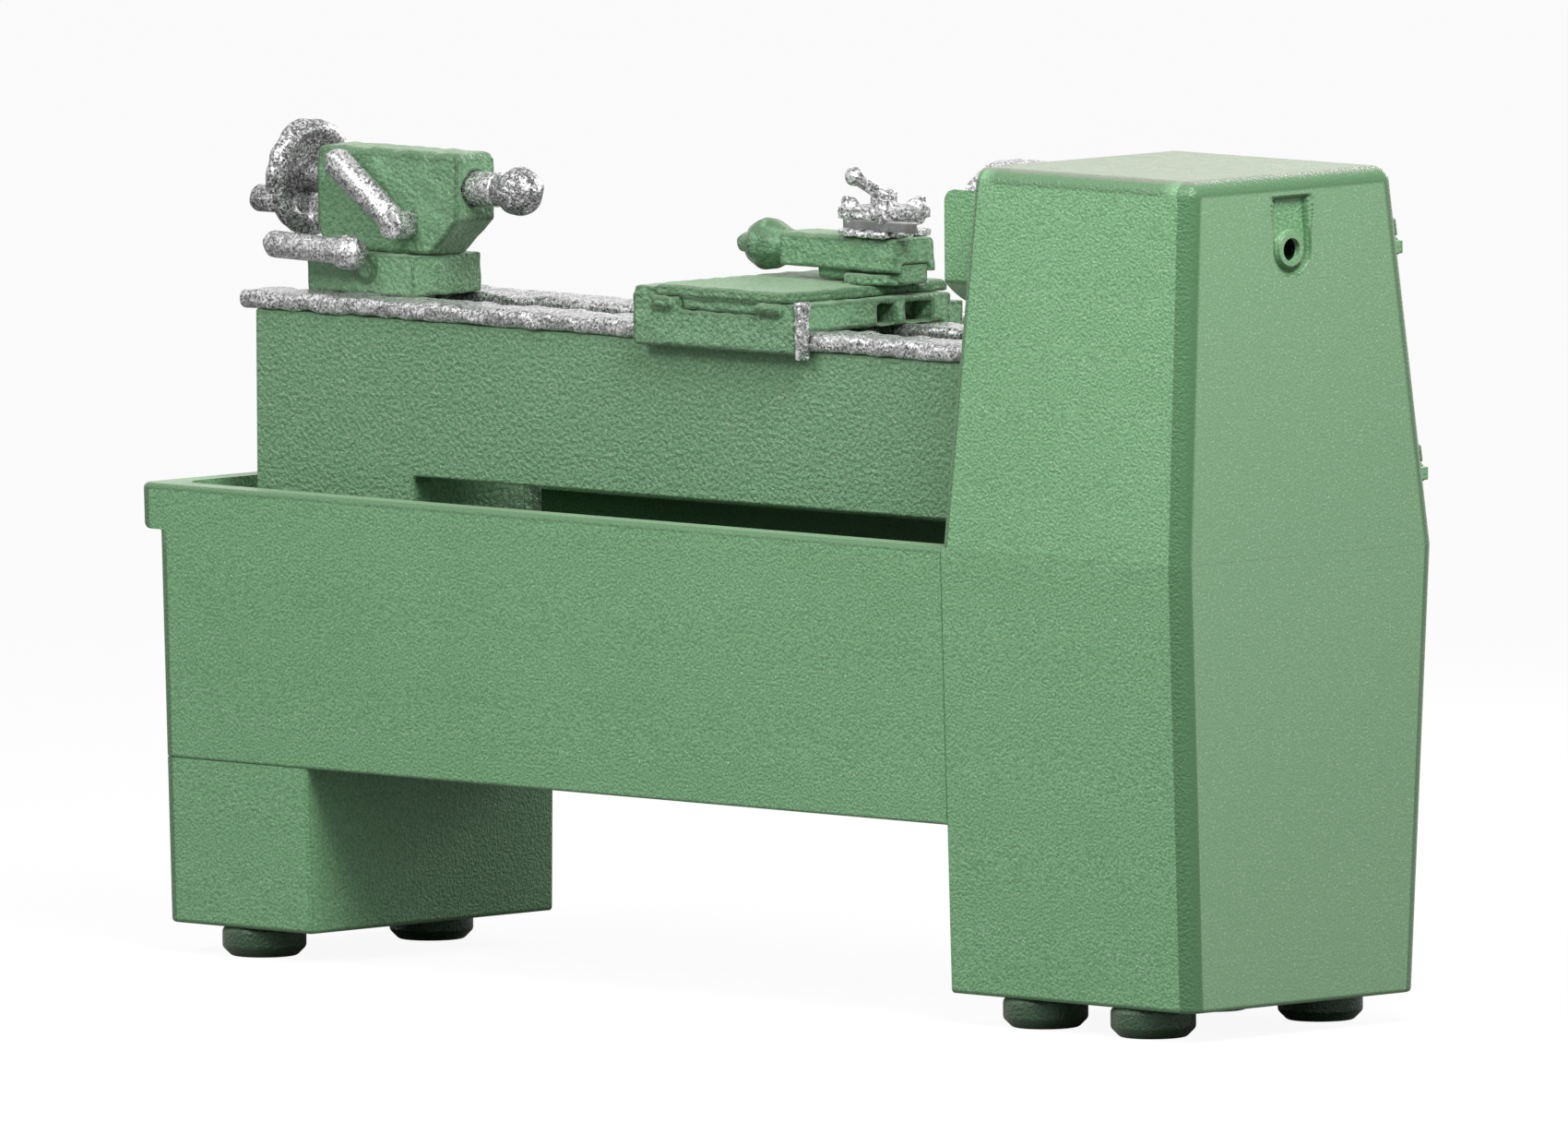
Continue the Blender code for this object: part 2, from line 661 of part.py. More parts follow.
def knuckle(share, side):
    """A hinge knuckle and its web, at a share of the cover's height.

    The hinge pin's line slopes with the headstock's front face and lies a little in
    front of it. side is 1 on the housing and -1 on the cover.
    """
    reach = 0.009
    low = Vector((COVER_SEAM, front_face(RIM_TOP) - reach, RIM_TOP))
    high = Vector((COVER_SEAM, front_face(HOUSING_TOP) - reach, HOUSING_TOP))
    start = low.lerp(high, share)
    end = low.lerp(high, share + 0.045)
    barrel = bar(start, end, 0.008, 12)
    x = sorted((COVER_SEAM + side * 0.0006, COVER_SEAM + side * 0.020))
    web = frustum(
        (*x, start.y, start.y + reach + 0.004),
        start.z + 0.002,
        (*x, end.y, end.y + reach + 0.004),
        end.z - 0.002,
    )
    return barrel, web


def make_cover(parent):
    """The end cover, hinged on the headstock's sloping front edge."""
    pivot = (COVER_SEAM, front_face(RIM_TOP) - 0.009, RIM_TOP)
    swing = body("end_cover_body", pivot, parent)
    low = RIM_TOP + GAP
    x = (HEAD_END, COVER_SEAM - GAP)
    outer = cabinet((x, x), low, HOUSING_TOP)

    def soft(a, b):
        top = a.z > HOUSING_TOP - 1e-4 and b.z > HOUSING_TOP - 1e-4
        seam = a.x > HEAD_END + 1e-4 and b.x > HEAD_END + 1e-4
        face = a.x < HEAD_END + 1e-4 and b.x < HEAD_END + 1e-4
        floor = a.z < low + 1e-4 and b.z < low + 1e-4
        return (top and not seam) or (face and not floor)

    rounded(outer, CORNER_RADIUS, 3, soft)
    cover = piece("end_cover", outer, swing, enamel("cover_enamel"))
    x = (HEAD_END + COVER_PLATE, COVER_SEAM)
    cut(cover, cabinet((x, x), low + WALL, HOUSING_TOP - CORNER_RADIUS - 0.002, CORNER_RADIUS + 0.002))
    half = 0.042
    steps = 10
    outline = [(half, SPINDLE_HEIGHT + 0.080), (-half, SPINDLE_HEIGHT + 0.080)]
    for k in range(steps + 1):
        angle = math.pi + math.pi * k / steps
        outline.append((half * math.cos(angle), SPINDLE_HEIGHT + half * math.sin(angle)))
    cut(cover, extruded(outline, HEAD_END - 0.01, HEAD_END + 0.006, "X"))
    axis = (0, 0, SPINDLE_HEIGHT)
    join(cover, rod(HEAD_END + 0.001, HEAD_END + COVER_PLATE + 0.002, 0.0325, axis))
    cut(cover, rod(HEAD_END - 0.01, COVER_SEAM + 0.01, SPINDLE_BORE + 0.001, axis))
    for share in (0.16, 0.76):
        join(cover, *knuckle(share, -1))


def make_spindle(parent):
    """The hollow spindle with its pulley, gear, chuck and jaws, on two bearings."""
    axis = (0, 0, SPINDLE_HEIGHT)
    steel = metal("spindle_steel", STEEL)
    wall_middle = REAR_WALL_X + REAR_WALL / 2
    half = REAR_WALL / 2 - 0.002
    rear = tube(
        wall_middle - half,
        wall_middle + half,
        REAR_BEARING_OUTER - GAP,
        hole(REAR_JOURNAL),
        axis,
    )
    piece("rear_spindle_bearing", rear, parent, steel)
    seat = nose_face(SPINDLE_HEIGHT) - NOSE_WALL + 0.002
    front = tube(
        seat, seat + BEARING_WIDTH, FRONT_BEARING_OUTER - GAP, hole(FRONT_JOURNAL), axis
    )
    piece("front_spindle_bearing", front, parent, steel)

    turning = body("spindle_body", axis, parent)
    rear_end = HEAD_END + COVER_PLATE + 0.006
    shoulder = REAR_WALL_X + REAR_WALL + 0.005
    nose = CHUCK_BACK - GAP
    profile = [
        (rear_end, SPINDLE_BORE),
        (rear_end, REAR_JOURNAL - 0.004),
        (GEAR_X - 0.002, REAR_JOURNAL - 0.004),
        (GEAR_X - 0.002, REAR_JOURNAL),
        (shoulder, REAR_JOURNAL),
        (shoulder, FRONT_JOURNAL),
        (nose - 0.014, FRONT_JOURNAL),
        (nose - 0.014, 0.062),
        (nose, 0.062),
        (nose, SPINDLE_BORE),
    ]
    piece("spindle", turned(profile, axis, ring=True), turning, steel)
    piece("spindle_pulley", pulley(SPINDLE_PULLEY, hole(FRONT_JOURNAL), axis), turning, metal("pulley"))
    bore = hole(REAR_JOURNAL, 20)
    gear("spindle_gear", turning, steel, SPINDLE_TEETH, bore, axis[1:], TRAIN_ANGLE)

    edge = 0.006
    profile = [
        (CHUCK_BACK, CHUCK_BORE),
        (CHUCK_BACK, CHUCK_RADIUS - edge),
        (CHUCK_BACK + edge, CHUCK_RADIUS),
        (CHUCK_FACE - edge, CHUCK_RADIUS),
        (CHUCK_FACE, CHUCK_RADIUS - edge),
        (CHUCK_FACE, CHUCK_BORE),
    ]
    chuck = piece("chuck_body", turned(profile, axis, sides=32, ring=True), turning, metal("chuck_silver"))
    slot_depth = 0.020
    half = JAW_WIDTH / 2 + GAP
    for number in range(3):
        angle = math.radians(90 + 120 * number)
        turn = Matrix.Rotation(angle, 4, "X")
        place = Matrix.Translation(axis) @ turn
        slot = box((CHUCK_FACE - slot_depth, CHUCK_FACE + 0.01), (0.0, CHUCK_RADIUS + 0.02), (-half, half))
        slot.transform(place)
        cut(chuck, slot)
        carrier = body(f"jaw_{number + 1}_body", axis, turning)
        foot_x = CHUCK_FACE - slot_depth + GAP
        outline = [
            (foot_x, JAW_GRIP + 0.008),
            (foot_x, CHUCK_RADIUS - 0.008),
            (CHUCK_FACE + 0.010, CHUCK_RADIUS - 0.008),
            (CHUCK_FACE + 0.010, 0.068),
            (CHUCK_FACE + 0.019, 0.068),
            (CHUCK_FACE + 0.019, 0.046),
            (CHUCK_FACE + JAW_OVERHANG, 0.046),
            (CHUCK_FACE + JAW_OVERHANG, JAW_GRIP),
            (CHUCK_FACE + 0.003, JAW_GRIP),
            (CHUCK_FACE + 0.003, JAW_GRIP + 0.008),
        ]
        jaw = extruded(outline, -JAW_WIDTH / 2, JAW_WIDTH / 2, "Z")
        jaw.transform(place)
        piece(f"chuck_jaw_{number + 1}", jaw, carrier, metal(f"jaw_{number + 1}", STEEL), False)


def pulley(radius, bore, axis):
    """A flat-belt pulley with a lip on each side, on a bore or solid when bore is 0."""
    half = BELT_WIDTH / 2 + GAP
    outer = half + PULLEY_RIM
    profile = [
        (PULLEY_X - outer, bore),
        (PULLEY_X - outer, radius + PULLEY_LIP),
        (PULLEY_X - half, radius + PULLEY_LIP),
        (PULLEY_X - half, radius),
        (PULLEY_X + half, radius),
        (PULLEY_X + half, radius + PULLEY_LIP),
        (PULLEY_X + outer, radius + PULLEY_LIP),
        (PULLEY_X + outer, bore),
    ]
    return turned(profile, axis, ring=bool(bore))


def make_drive(base):
    """The motor on its cradle, its pulley and the belt up to the spindle."""
    axis = (0, MOTOR_Y, MOTOR_Z)
    start = PULLEY_X + BELT_WIDTH / 2 + PULLEY_RIM + 0.020
    end = start + MOTOR_LENGTH
    shaft_hole = hole(MOTOR_SHAFT)
    profile = [
        (start + 0.030, 0.0),
        (start + 0.030, shaft_hole),
        (start, shaft_hole),
        (start, 0.055),
        (start + 0.012, MOTOR_RADIUS - 0.010),
        (start + 0.012, MOTOR_RADIUS),
        (end - 0.020, MOTOR_RADIUS),
        (end, MOTOR_RADIUS - 0.020),
        (end, 0.0),
    ]
    piece("drive_motor", turned(profile, axis), base, enamel("motor_enamel", DARK_GREEN))
    floor = FOOT_HEIGHT + WALL + GAP
    x = (start + 0.040, end - 0.050)
    cradle = box(x, (MOTOR_Y - 0.090, MOTOR_Y + 0.090), (floor, MOTOR_Z - 0.055))
    cradle = piece("motor_bracket", cradle, base, enamel("bracket_enamel", DARK_GREEN), False)
    cut(cradle, rod(x[0] - 0.01, x[1] + 0.01, hole(MOTOR_RADIUS, 32), axis, sides=32))

    rotor = body("motor_body", axis, base)
    shape = pulley(MOTOR_PULLEY, 0.0, axis)
    turned_pulley = piece("motor_pulley", shape, rotor, metal("motor_pulley_silver"))
    join(turned_pulley, rod(PULLEY_X, start + 0.028, MOTOR_SHAFT, axis))
    piece("drive_belt", belt(), base, material("belt_rubber", BLACK, 0.0, 0.8))


def belt():
    """A closed flat belt: two arcs and the straight runs between them."""
    first = Vector((0.0, SPINDLE_HEIGHT))
    second = Vector((MOTOR_Y, MOTOR_Z))
    span = second - first
    heading = math.atan2(span.y, span.x)
    lean = math.acos((SPINDLE_PULLEY - MOTOR_PULLEY) / span.length)
    steps = 16
    arcs = (
        (first, SPINDLE_PULLEY, heading + lean, math.tau - 2 * lean),
        (second, MOTOR_PULLEY, heading - lean, 2 * lean),
    )
    rims = []
    for layer in (GAP, GAP + BELT_THICKNESS):
        points = []
        for centre, radius, start, turn in arcs:
            reach = (radius + layer) / math.cos(turn / steps / 2)
            for k in range(steps + 1):
                angle = start + turn * k / steps
                points.append(centre + reach * Vector((math.cos(angle), math.sin(angle))))
        rims.append(points)
    shape = bmesh.new()
    half = BELT_WIDTH / 2
    loops = [
        [shape.verts.new((PULLEY_X + side, p.x, p.y)) for p in points]
        for points, side in ((rims[0], -half), (rims[1], -half), (rims[1], half), (rims[0], half))
    ]
    count = len(rims[0])
    for a, b in zip(loops, loops[1:] + loops[:1]):
        for k in range(count):
            n = (k + 1) % count
            shape.faces.new((a[k], a[n], b[n], b[k]))
    return shape


def make_feed(base):
    """The change gears, lead screw and feed rod, with what carries them."""
    steel = metal("screw_steel", STEEL)
    idler = body("idler_body", (0, IDLER_Y, IDLER_Z), base)
    tooth = TRAIN_ANGLE + math.pi + math.pi / IDLER_TEETH
    bore = hole(IDLER_STUD, 20)
    finish = metal("idler_steel", STEEL)
    gear("idler_gear", idler, finish, IDLER_TEETH, bore, (IDLER_Y, IDLER_Z), tooth)

    screw_axis = (0, LEADSCREW_Y, LEADSCREW_Z)
    turning = body("leadscrew_body", screw_axis, base)
    screw = rod(COVER_SEAM + 0.003, ROD_END, LEADSCREW_RADIUS, screw_axis, sides=20)
    piece("leadscrew", screw, turning, steel)
    phase = tooth_at_far_side(tooth)
    bore = hole(LEADSCREW_RADIUS, 20)
    finish = metal("leadscrew_gear_steel", STEEL)
    gear("leadscrew_gear", turning, finish, LEADSCREW_TEETH, bore, screw_axis[1:], phase)

    rod_axis = (0, LEADSCREW_Y, FEED_ROD_Z)
    feed = body("feed_rod_body", rod_axis, base)
    box_end = HEAD_FACE + 0.130
    shape = rod(HEAD_FACE + 0.040, ROD_END, FEED_ROD_RADIUS, rod_axis, sides=20)
    piece("feed_rod", shape, feed, metal("feed_rod_steel", STEEL))

    top = LEADSCREW_Z + 0.048
    low = FEED_ROD_Z - 0.041
    outline = [
        (nose_face(low) + GAP, low),
        (box_end, low),
        (box_end, top),
        (nose_face(top) + GAP, top),
    ]
    shape = extruded(outline, -BED_HALF_WIDTH - 0.143, -BED_HALF_WIDTH - GAP, "Y")
    gearbox = piece("feed_gearbox", shape, base, enamel("gearbox_enamel"), False)
    screw_hole = hole(LEADSCREW_RADIUS, 20)
    feed_hole = hole(FEED_ROD_RADIUS, 20)
    cut(
        gearbox,
        rod(HEAD_FACE - 0.05, box_end + 0.01, screw_hole, screw_axis, sides=20),
        rod(HEAD_FACE + 0.036, box_end + 0.01, feed_hole, rod_axis, sides=20),
    )

    block = box(
        (BED_END - 0.040, BED_END - 0.005),
        (LEADSCREW_Y - 0.030, -BED_HALF_WIDTH - GAP),
        (FEED_ROD_Z - 0.030, LEADSCREW_Z + 0.034),
    )
    bracket = piece("leadscrew_bracket", block, base, enamel("screw_bracket_enamel"), False)
    for centre, radius in ((screw_axis, screw_hole), (rod_axis, feed_hole)):
        cut(bracket, rod(BED_END - 0.05, BED_END + 0.01, radius, centre, sides=20))


def tooth_at_far_side(idler_tooth):
    """The lead screw gear's phase that puts a gap where the idler has a tooth.

    The angle from the idler towards the lead screw is TRAIN_ANGLE. The idler's tooth
    nearest to that line is a share of a tooth away from it, and the other gear turns
    the opposite way, so its gap is the same share away on its own pitch circle.
    """
    pitch_angle = math.tau / IDLER_TEETH
    share = ((TRAIN_ANGLE - idler_tooth) / pitch_angle) % 1.0
    own = math.tau / LEADSCREW_TEETH
    return TRAIN_ANGLE + math.pi + own * (share + 0.5)


def make_guard(parent):
    """The chuck guard: an arc shell on a ring that turns on the headstock's nose."""
    axis = (0, 0, SPINDLE_HEIGHT)
    swing = body("chuck_guard_body", axis, parent)
    ring_x = NOSE_BOSS_X - 0.008
    ring = tube(ring_x, ring_x + 0.006, 0.097, hole(NOSE_BOSS_RADIUS, 32), axis, sides=32)
    guard = piece("chuck_guard", ring, swing, enamel("guard_enamel"))
    outer = GUARD_RADIUS + GUARD_WALL
    join(guard, sector(0.090, outer, ring_x, ring_x + 0.006, 12))
    join(guard, sector(GUARD_RADIUS, outer, ring_x + 0.003, ring_x + GUARD_LENGTH, 14))


def sector(inner, outer, start, end, steps):
    """Part of a tube about the spindle axis, between the guard's two angles."""
    outline = []
    for radius, order in ((inner, 1), (outer, -1)):
        for k in range(steps + 1)[::order]:
            angle = GUARD_FROM + (GUARD_TO - GUARD_FROM) * k / steps
            y = radius * math.cos(angle)
            outline.append((y, SPINDLE_HEIGHT + radius * math.sin(angle)))
    return extruded(outline, start, end, "X")


def make_controls(base):
    """The push-button box and the speed lever on the headstock's front."""
    outline = [
        (front_face(PANEL_TOP) - GAP, PANEL_TOP),
        (PANEL_FRONT, PANEL_TOP),
        (PANEL_FRONT, PANEL_BOTTOM),
        (front_face(PANEL_BOTTOM) - GAP, PANEL_BOTTOM),
    ]
    shape = extruded(outline, PANEL_FROM, PANEL_TO, "X")
    panel = piece("control_panel", shape, base, enamel("panel_enamel", DARK_GREEN), False)
    middle = (PANEL_FROM + PANEL_TO) / 2
    for name, offset, cap, colour in (
        ("start_button", -0.045, 0.016, BLACK),
        ("stop_button", 0.045, 0.020, RED),
    ):
        centre = (middle + offset, 0, BUTTON_Z)
        cut(panel, rod(PANEL_FRONT - 0.01, PANEL_FRONT + 0.026, 0.0125, centre, "Y", 20))
        push = body(f"{name}_body", (middle + offset, PANEL_FRONT, BUTTON_Z), base)
        back = PANEL_FRONT - BUTTON_TRAVEL - 0.001
        profile = [
            (back - 0.008, 0.0),
            (back - 0.008, cap - 0.002),
            (back - 0.006, cap),
            (back, cap),
            (back, 0.0122),
            (PANEL_FRONT + 0.018, 0.0122),
            (PANEL_FRONT + 0.018, 0.0),
        ]
        piece(name, turned(profile, centre, "Y", 20), push, material(name, colour, 0.0, 0.4))

    pivot = (SPEED_LEVER_X, SPEED_BOSS_FRONT, SPEED_LEVER_Z)
    turning = body("speed_lever_body", pivot, base)
    front = SPEED_BOSS_FRONT - GAP
    hub = rod(front - 0.022, front, 0.022, (SPEED_LEVER_X, 0, SPEED_LEVER_Z), "Y", 20)
    lever = piece("speed_lever", hub, turning, metal("speed_lever_silver"))
    top = (SPEED_LEVER_X, front - 0.022, SPEED_LEVER_Z + 0.085)
    join(
        lever,
        bar((SPEED_LEVER_X, front - 0.012, SPEED_LEVER_Z + 0.010), top, 0.007, 12),
        ball(top, 0.014, 14, 7),
    )


# ---------------------------------------------------------------- carriage
def make_carriage(base):
    """The saddle, apron and wiper, with everything that rides on them."""
    carriage = body("carriage_body", (0, 0, WAY_TOP), base)
    half = SADDLE_HALF_WIDTH
    inner = WAY_OUTER + GAP
    under = WAY_TOP + GAP
    outline = [
        (-half, SKIRT_BOTTOM),
        (-inner, SKIRT_BOTTOM),
        (-inner, under),
        (inner, under),
        (inner, SKIRT_BOTTOM),
        (half, SKIRT_BOTTOM),
        (half, SADDLE_TOP),
        (-half, SADDLE_TOP),
    ]
    shape = extruded(outline, SADDLE_FROM, SADDLE_TO, "X")
    saddle = piece("saddle", shape, carriage, enamel("saddle_enamel"), False)
    shoulder = box((SLIDE_TO + 0.008, SADDLE_TO - 0.002), (-half, half - 0.002), (SADDLE_TOP - 0.01, SADDLE_TOP + 0.013))
    lug_z = (SADDLE_TOP - 0.018, SADDLE_TOP - GAP)
    rounded_lug = box((SLIDE_FROM + 0.004, SLIDE_FROM + 0.145), (half - 0.01, half + 0.010), lug_z)
    rounded(rounded_lug, 0.009, 3, lambda a, b: a.y > half and b.y > half)
    square_lug = box((SLIDE_TO - 0.036, SLIDE_TO), (half - 0.01, half + 0.006), lug_z)
    join(saddle, shoulder, rounded_lug, square_lug)
    channel = box(
        (SLIDE_GUIDE_FROM, SLIDE_GUIDE_TO),
        (-half - 0.01, half + 0.02),
        (SADDLE_TOP - SLIDE_GUIDE_DEPTH, SADDLE_TOP + 0.01),
    )
    pocket_z = (under + 0.003, SADDLE_TOP - 0.009)
    pockets = [
        box((SADDLE_FROM - 0.01, SADDLE_FROM + 0.045), y, pocket_z)
        for y in ((-0.045, -0.010), (-0.125, -0.070))
    ]
    cut(saddle, channel, *pockets)

    thickness = 0.011
    x = (SADDLE_FROM - GAP - thickness, SADDLE_FROM - GAP)
    strip = box(x, (half - 0.018, half + 0.004), (SKIRT_BOTTOM - 0.006, SADDLE_TOP - 0.001))
    wiper = piece("saddle_wiper", strip, carriage, metal("wiper_silver"), False)
    cap_x = (x[0] - 0.003, x[1])
    join(wiper, box(cap_x, (half - 0.019, half + 0.005), (SADDLE_TOP - 0.012, SADDLE_TOP + 0.005)))

    notch = LEADSCREW_Y - LEADSCREW_RADIUS - 0.008
    outline = [
        (APRON_FRONT, APRON_BOTTOM),
        (APRON_BACK, APRON_BOTTOM),
        (APRON_BACK, FEED_ROD_Z - FEED_ROD_RADIUS - 0.007),
        (notch, FEED_ROD_Z - FEED_ROD_RADIUS - 0.007),
        (notch, LEADSCREW_Z + LEADSCREW_RADIUS + 0.007),
        (APRON_BACK, LEADSCREW_Z + LEADSCREW_RADIUS + 0.007),
        (APRON_BACK, SKIRT_BOTTOM - GAP),
        (-half - GAP, SKIRT_BOTTOM - GAP),
        (-half - GAP, APRON_TOP),
        (APRON_FRONT, APRON_TOP),
    ]
    shape = extruded(outline, APRON_FROM, APRON_TO, "X")
    piece("apron", shape, carriage, enamel("apron_enamel"), False)
    make_apron_controls(carriage)
    return carriage


def make_apron_controls(carriage):
    """The carriage handwheel, half-nut lever and cross-slide crank."""
    front = APRON_FRONT - GAP
    wheel_body = body("carriage_handwheel_body", (HANDWHEEL_X, front, HANDWHEEL_Z), carriage)
    centre = (HANDWHEEL_X, 0, HANDWHEEL_Z)
    shape = spun_wheel(
        "Y", centre, front - 0.040, 0.016, HANDWHEEL_RADIUS, 0.016, 0.020, front - 0.044, front
    )
    wheel = piece("carriage_handwheel", shape, wheel_body, metal("handwheel_silver"))
    grip = (HANDWHEEL_X + 0.052, 0, HANDWHEEL_Z + 0.046)
    join(wheel, rod(HANDLE_TIP, front - 0.030, 0.011, grip, "Y", 14))

    turning = body("halfnut_lever_body", (HALFNUT_X, front, HALFNUT_Z), carriage)
    hub = rod(front - 0.020, front, 0.017, (HALFNUT_X, 0, HALFNUT_Z), "Y", 20)
    lever = piece("halfnut_lever", hub, turning, metal("halfnut_silver"))
    top = (HALFNUT_X, front - 0.016, HALFNUT_Z + 0.068)
    join(
        lever,
        bar((HALFNUT_X, front - 0.010, HALFNUT_Z + 0.008), top, 0.006, 12),
        ball(top, 0.012, 14, 7),
    )

    turning = body("cross_slide_crank_body", (CRANK_X, front, CRANK_Z), carriage)
    hub = rod(front - 0.024, front, 0.028, (CRANK_X, 0, CRANK_Z), "Y", 24)
    crank = piece("cross_slide_crank", hub, turning, metal("crank_silver"))
    end = (CRANK_X - CRANK_ARM, front - 0.030, CRANK_Z)
    join(
        crank,
        bar((CRANK_X, front - 0.018, CRANK_Z), end, 0.009, 14, 0.008),
        rod(HANDLE_TIP, front - 0.024, 0.010, (end[0], 0, end[2]), "Y", 14),
    )


def make_slides(carriage):
    """The cross slide, swivel, top slide, its handle and the tool post."""
    cross = body("cross_slide_body", (0, 0, SADDLE_TOP), carriage)
    low = SADDLE_TOP + GAP
    slab = box((SLIDE_FROM, SLIDE_TO), (SLIDE_FRONT, SLIDE_REAR), (low, SLIDE_TOP))
    rounded(slab, 0.005, 2, lambda a, b: a.z > SLIDE_TOP - 1e-4 and b.z > SLIDE_TOP - 1e-4)
    slide = piece("cross_slide", slab, cross, enamel("cross_slide_enamel"), False)
    tongue = box(
        (SLIDE_GUIDE_FROM + GAP, SLIDE_GUIDE_TO - GAP),
        (SLIDE_FRONT + 0.010, SLIDE_REAR - 0.004),
        (SADDLE_TOP - SLIDE_GUIDE_DEPTH + GAP, SADDLE_TOP + 0.008),
    )
    join(slide, tongue)

    pivot = (SWIVEL_X, SWIVEL_Y, SLIDE_TOP)
    swivel = body("swivel_body", pivot, cross)
    disc_top = SLIDE_TOP + SWIVEL_HEIGHT
    centre = (SWIVEL_X, SWIVEL_Y, 0)
    shape = rod(SLIDE_TOP + GAP, disc_top - 0.004, SWIVEL_RADIUS, centre, "Z", 28)
    base = piece("swivel_base", shape, swivel, enamel("swivel_enamel"), False)
    guide_top = SLIDE_TOP + 0.003 + GUIDE_HEIGHT
    guide_y = (SWIVEL_Y - GUIDE_HALF_WIDTH, SWIVEL_Y + GUIDE_HALF_WIDTH)
    join(base, box((TOP_SLIDE_FROM + 0.002, SWIVEL_X + 0.115), guide_y, (SLIDE_TOP + 0.003, guide_top)))

    travel = body("top_slide_body", (SWIVEL_X, SWIVEL_Y, disc_top), swivel)
    wide = TOP_SLIDE_HALF_WIDTH
    narrow = GUIDE_HALF_WIDTH + GAP
    outline = [
        (SWIVEL_Y - wide, disc_top + GAP),
        (SWIVEL_Y - narrow, disc_top + GAP),
        (SWIVEL_Y - narrow, guide_top + GAP),
        (SWIVEL_Y + narrow, guide_top + GAP),
        (SWIVEL_Y + narrow, disc_top + GAP),
        (SWIVEL_Y + wide, disc_top + GAP),
        (SWIVEL_Y + wide, TOP_SLIDE_TOP - 0.005),
        (SWIVEL_Y + wide - 0.005, TOP_SLIDE_TOP),
        (SWIVEL_Y - wide + 0.005, TOP_SLIDE_TOP),
        (SWIVEL_Y - wide, TOP_SLIDE_TOP - 0.005),
    ]
    shape = extruded(outline, TOP_SLIDE_FROM, TOP_SLIDE_TO, "X")
    piece("top_slide", shape, travel, enamel("top_slide_enamel"), False)

    axis = (0, SWIVEL_Y, HANDLE_Z)
    turning = body("top_slide_handle_body", (TOP_SLIDE_TO, SWIVEL_Y, HANDLE_Z), travel)
    start = TOP_SLIDE_TO + GAP
    profile = [
        (start, 0.0),
        (start, 0.023),
        (start + 0.020, 0.025),
        (start + 0.054, 0.038),
        (start + 0.072, 0.039),
        (start + 0.090, 0.029),
        (start + 0.099, 0.015),
        (start + 0.118, 0.014),
        (start + 0.124, 0.009),
        (start + 0.124, 0.0),
    ]
    piece("top_slide_handle", turned(profile, axis), turning, enamel("handle_enamel"))
    make_tool_post(travel)


def make_tool_post(travel):
    """The four-way tool post with its clamp screws, its lever and one tool."""
    half = POST_SIDE / 2
    low = TOP_SLIDE_TOP + GAP
    top = low + POST_HEIGHT
    post_body = body("tool_post_body", (SWIVEL_X, SWIVEL_Y, low), travel)
    x = (SWIVEL_X - half, SWIVEL_X + half)
    y = (SWIVEL_Y - half, SWIVEL_Y + half)
    post = piece("tool_post", box(x, y, (low, top)), post_body, metal("tool_post_silver"), False)
    slot = (low + 0.011, low + 0.011 + TOOL_SIDE + 2 * GAP)
    far = half + 0.01
    near = half - POST_SLOT
    cut(
        post,
        box((SWIVEL_X - far, SWIVEL_X + far), (SWIVEL_Y + near, SWIVEL_Y + far), slot),
        box((SWIVEL_X - far, SWIVEL_X + far), (SWIVEL_Y - far, SWIVEL_Y - near), slot),
        box((SWIVEL_X - far, SWIVEL_X - near), (SWIVEL_Y - far, SWIVEL_Y + far), slot),
        box((SWIVEL_X + near, SWIVEL_X + far), (SWIVEL_Y - far, SWIVEL_Y + far), slot),
    )
    inset = POST_SLOT / 2
    for dx, dy in ((-1, -1), (-1, 1), (1, -1), (1, 1)):
        place = (SWIVEL_X + dx * (half - inset), SWIVEL_Y + dy * (half - inset), 0)
        join(post, rod(top - 0.004, top + 0.014, 0.008, place, "Z", 8))

    tool_z = (slot[0] + GAP, slot[0] + GAP + TOOL_SIDE)
    tool_y = (SWIVEL_Y + near + GAP, SWIVEL_Y + near + GAP + TOOL_SIDE)
    tip = x[0] - TOOL_OUT
    outline = [
        (tip, tool_y[1]),
        (tip + 0.006, tool_y[0]),
        (x[0] + TOOL_SHANK, tool_y[0]),
        (x[0] + TOOL_SHANK, tool_y[1]),
    ]
    piece("cutting_tool", extruded(outline, *tool_z, "Z"), post_body, metal("tool_steel", STEEL), False)

    turning = body("tool_post_lever_body", (SWIVEL_X, SWIVEL_Y, top), post_body)
    centre = (SWIVEL_X, SWIVEL_Y, 0)
    hub = rod(top + GAP, top + 0.026, 0.016, centre, "Z", 16)
    lever = piece("tool_post_lever", hub, turning, metal("post_lever_silver"))
    end = (SWIVEL_X + 0.016, SWIVEL_Y + 0.052, top + 0.050)
    join(
        lever,
        bar((SWIVEL_X, SWIVEL_Y, top + 0.016), end, 0.006, 10),
        ball(end, 0.012, 12, 6),
    )


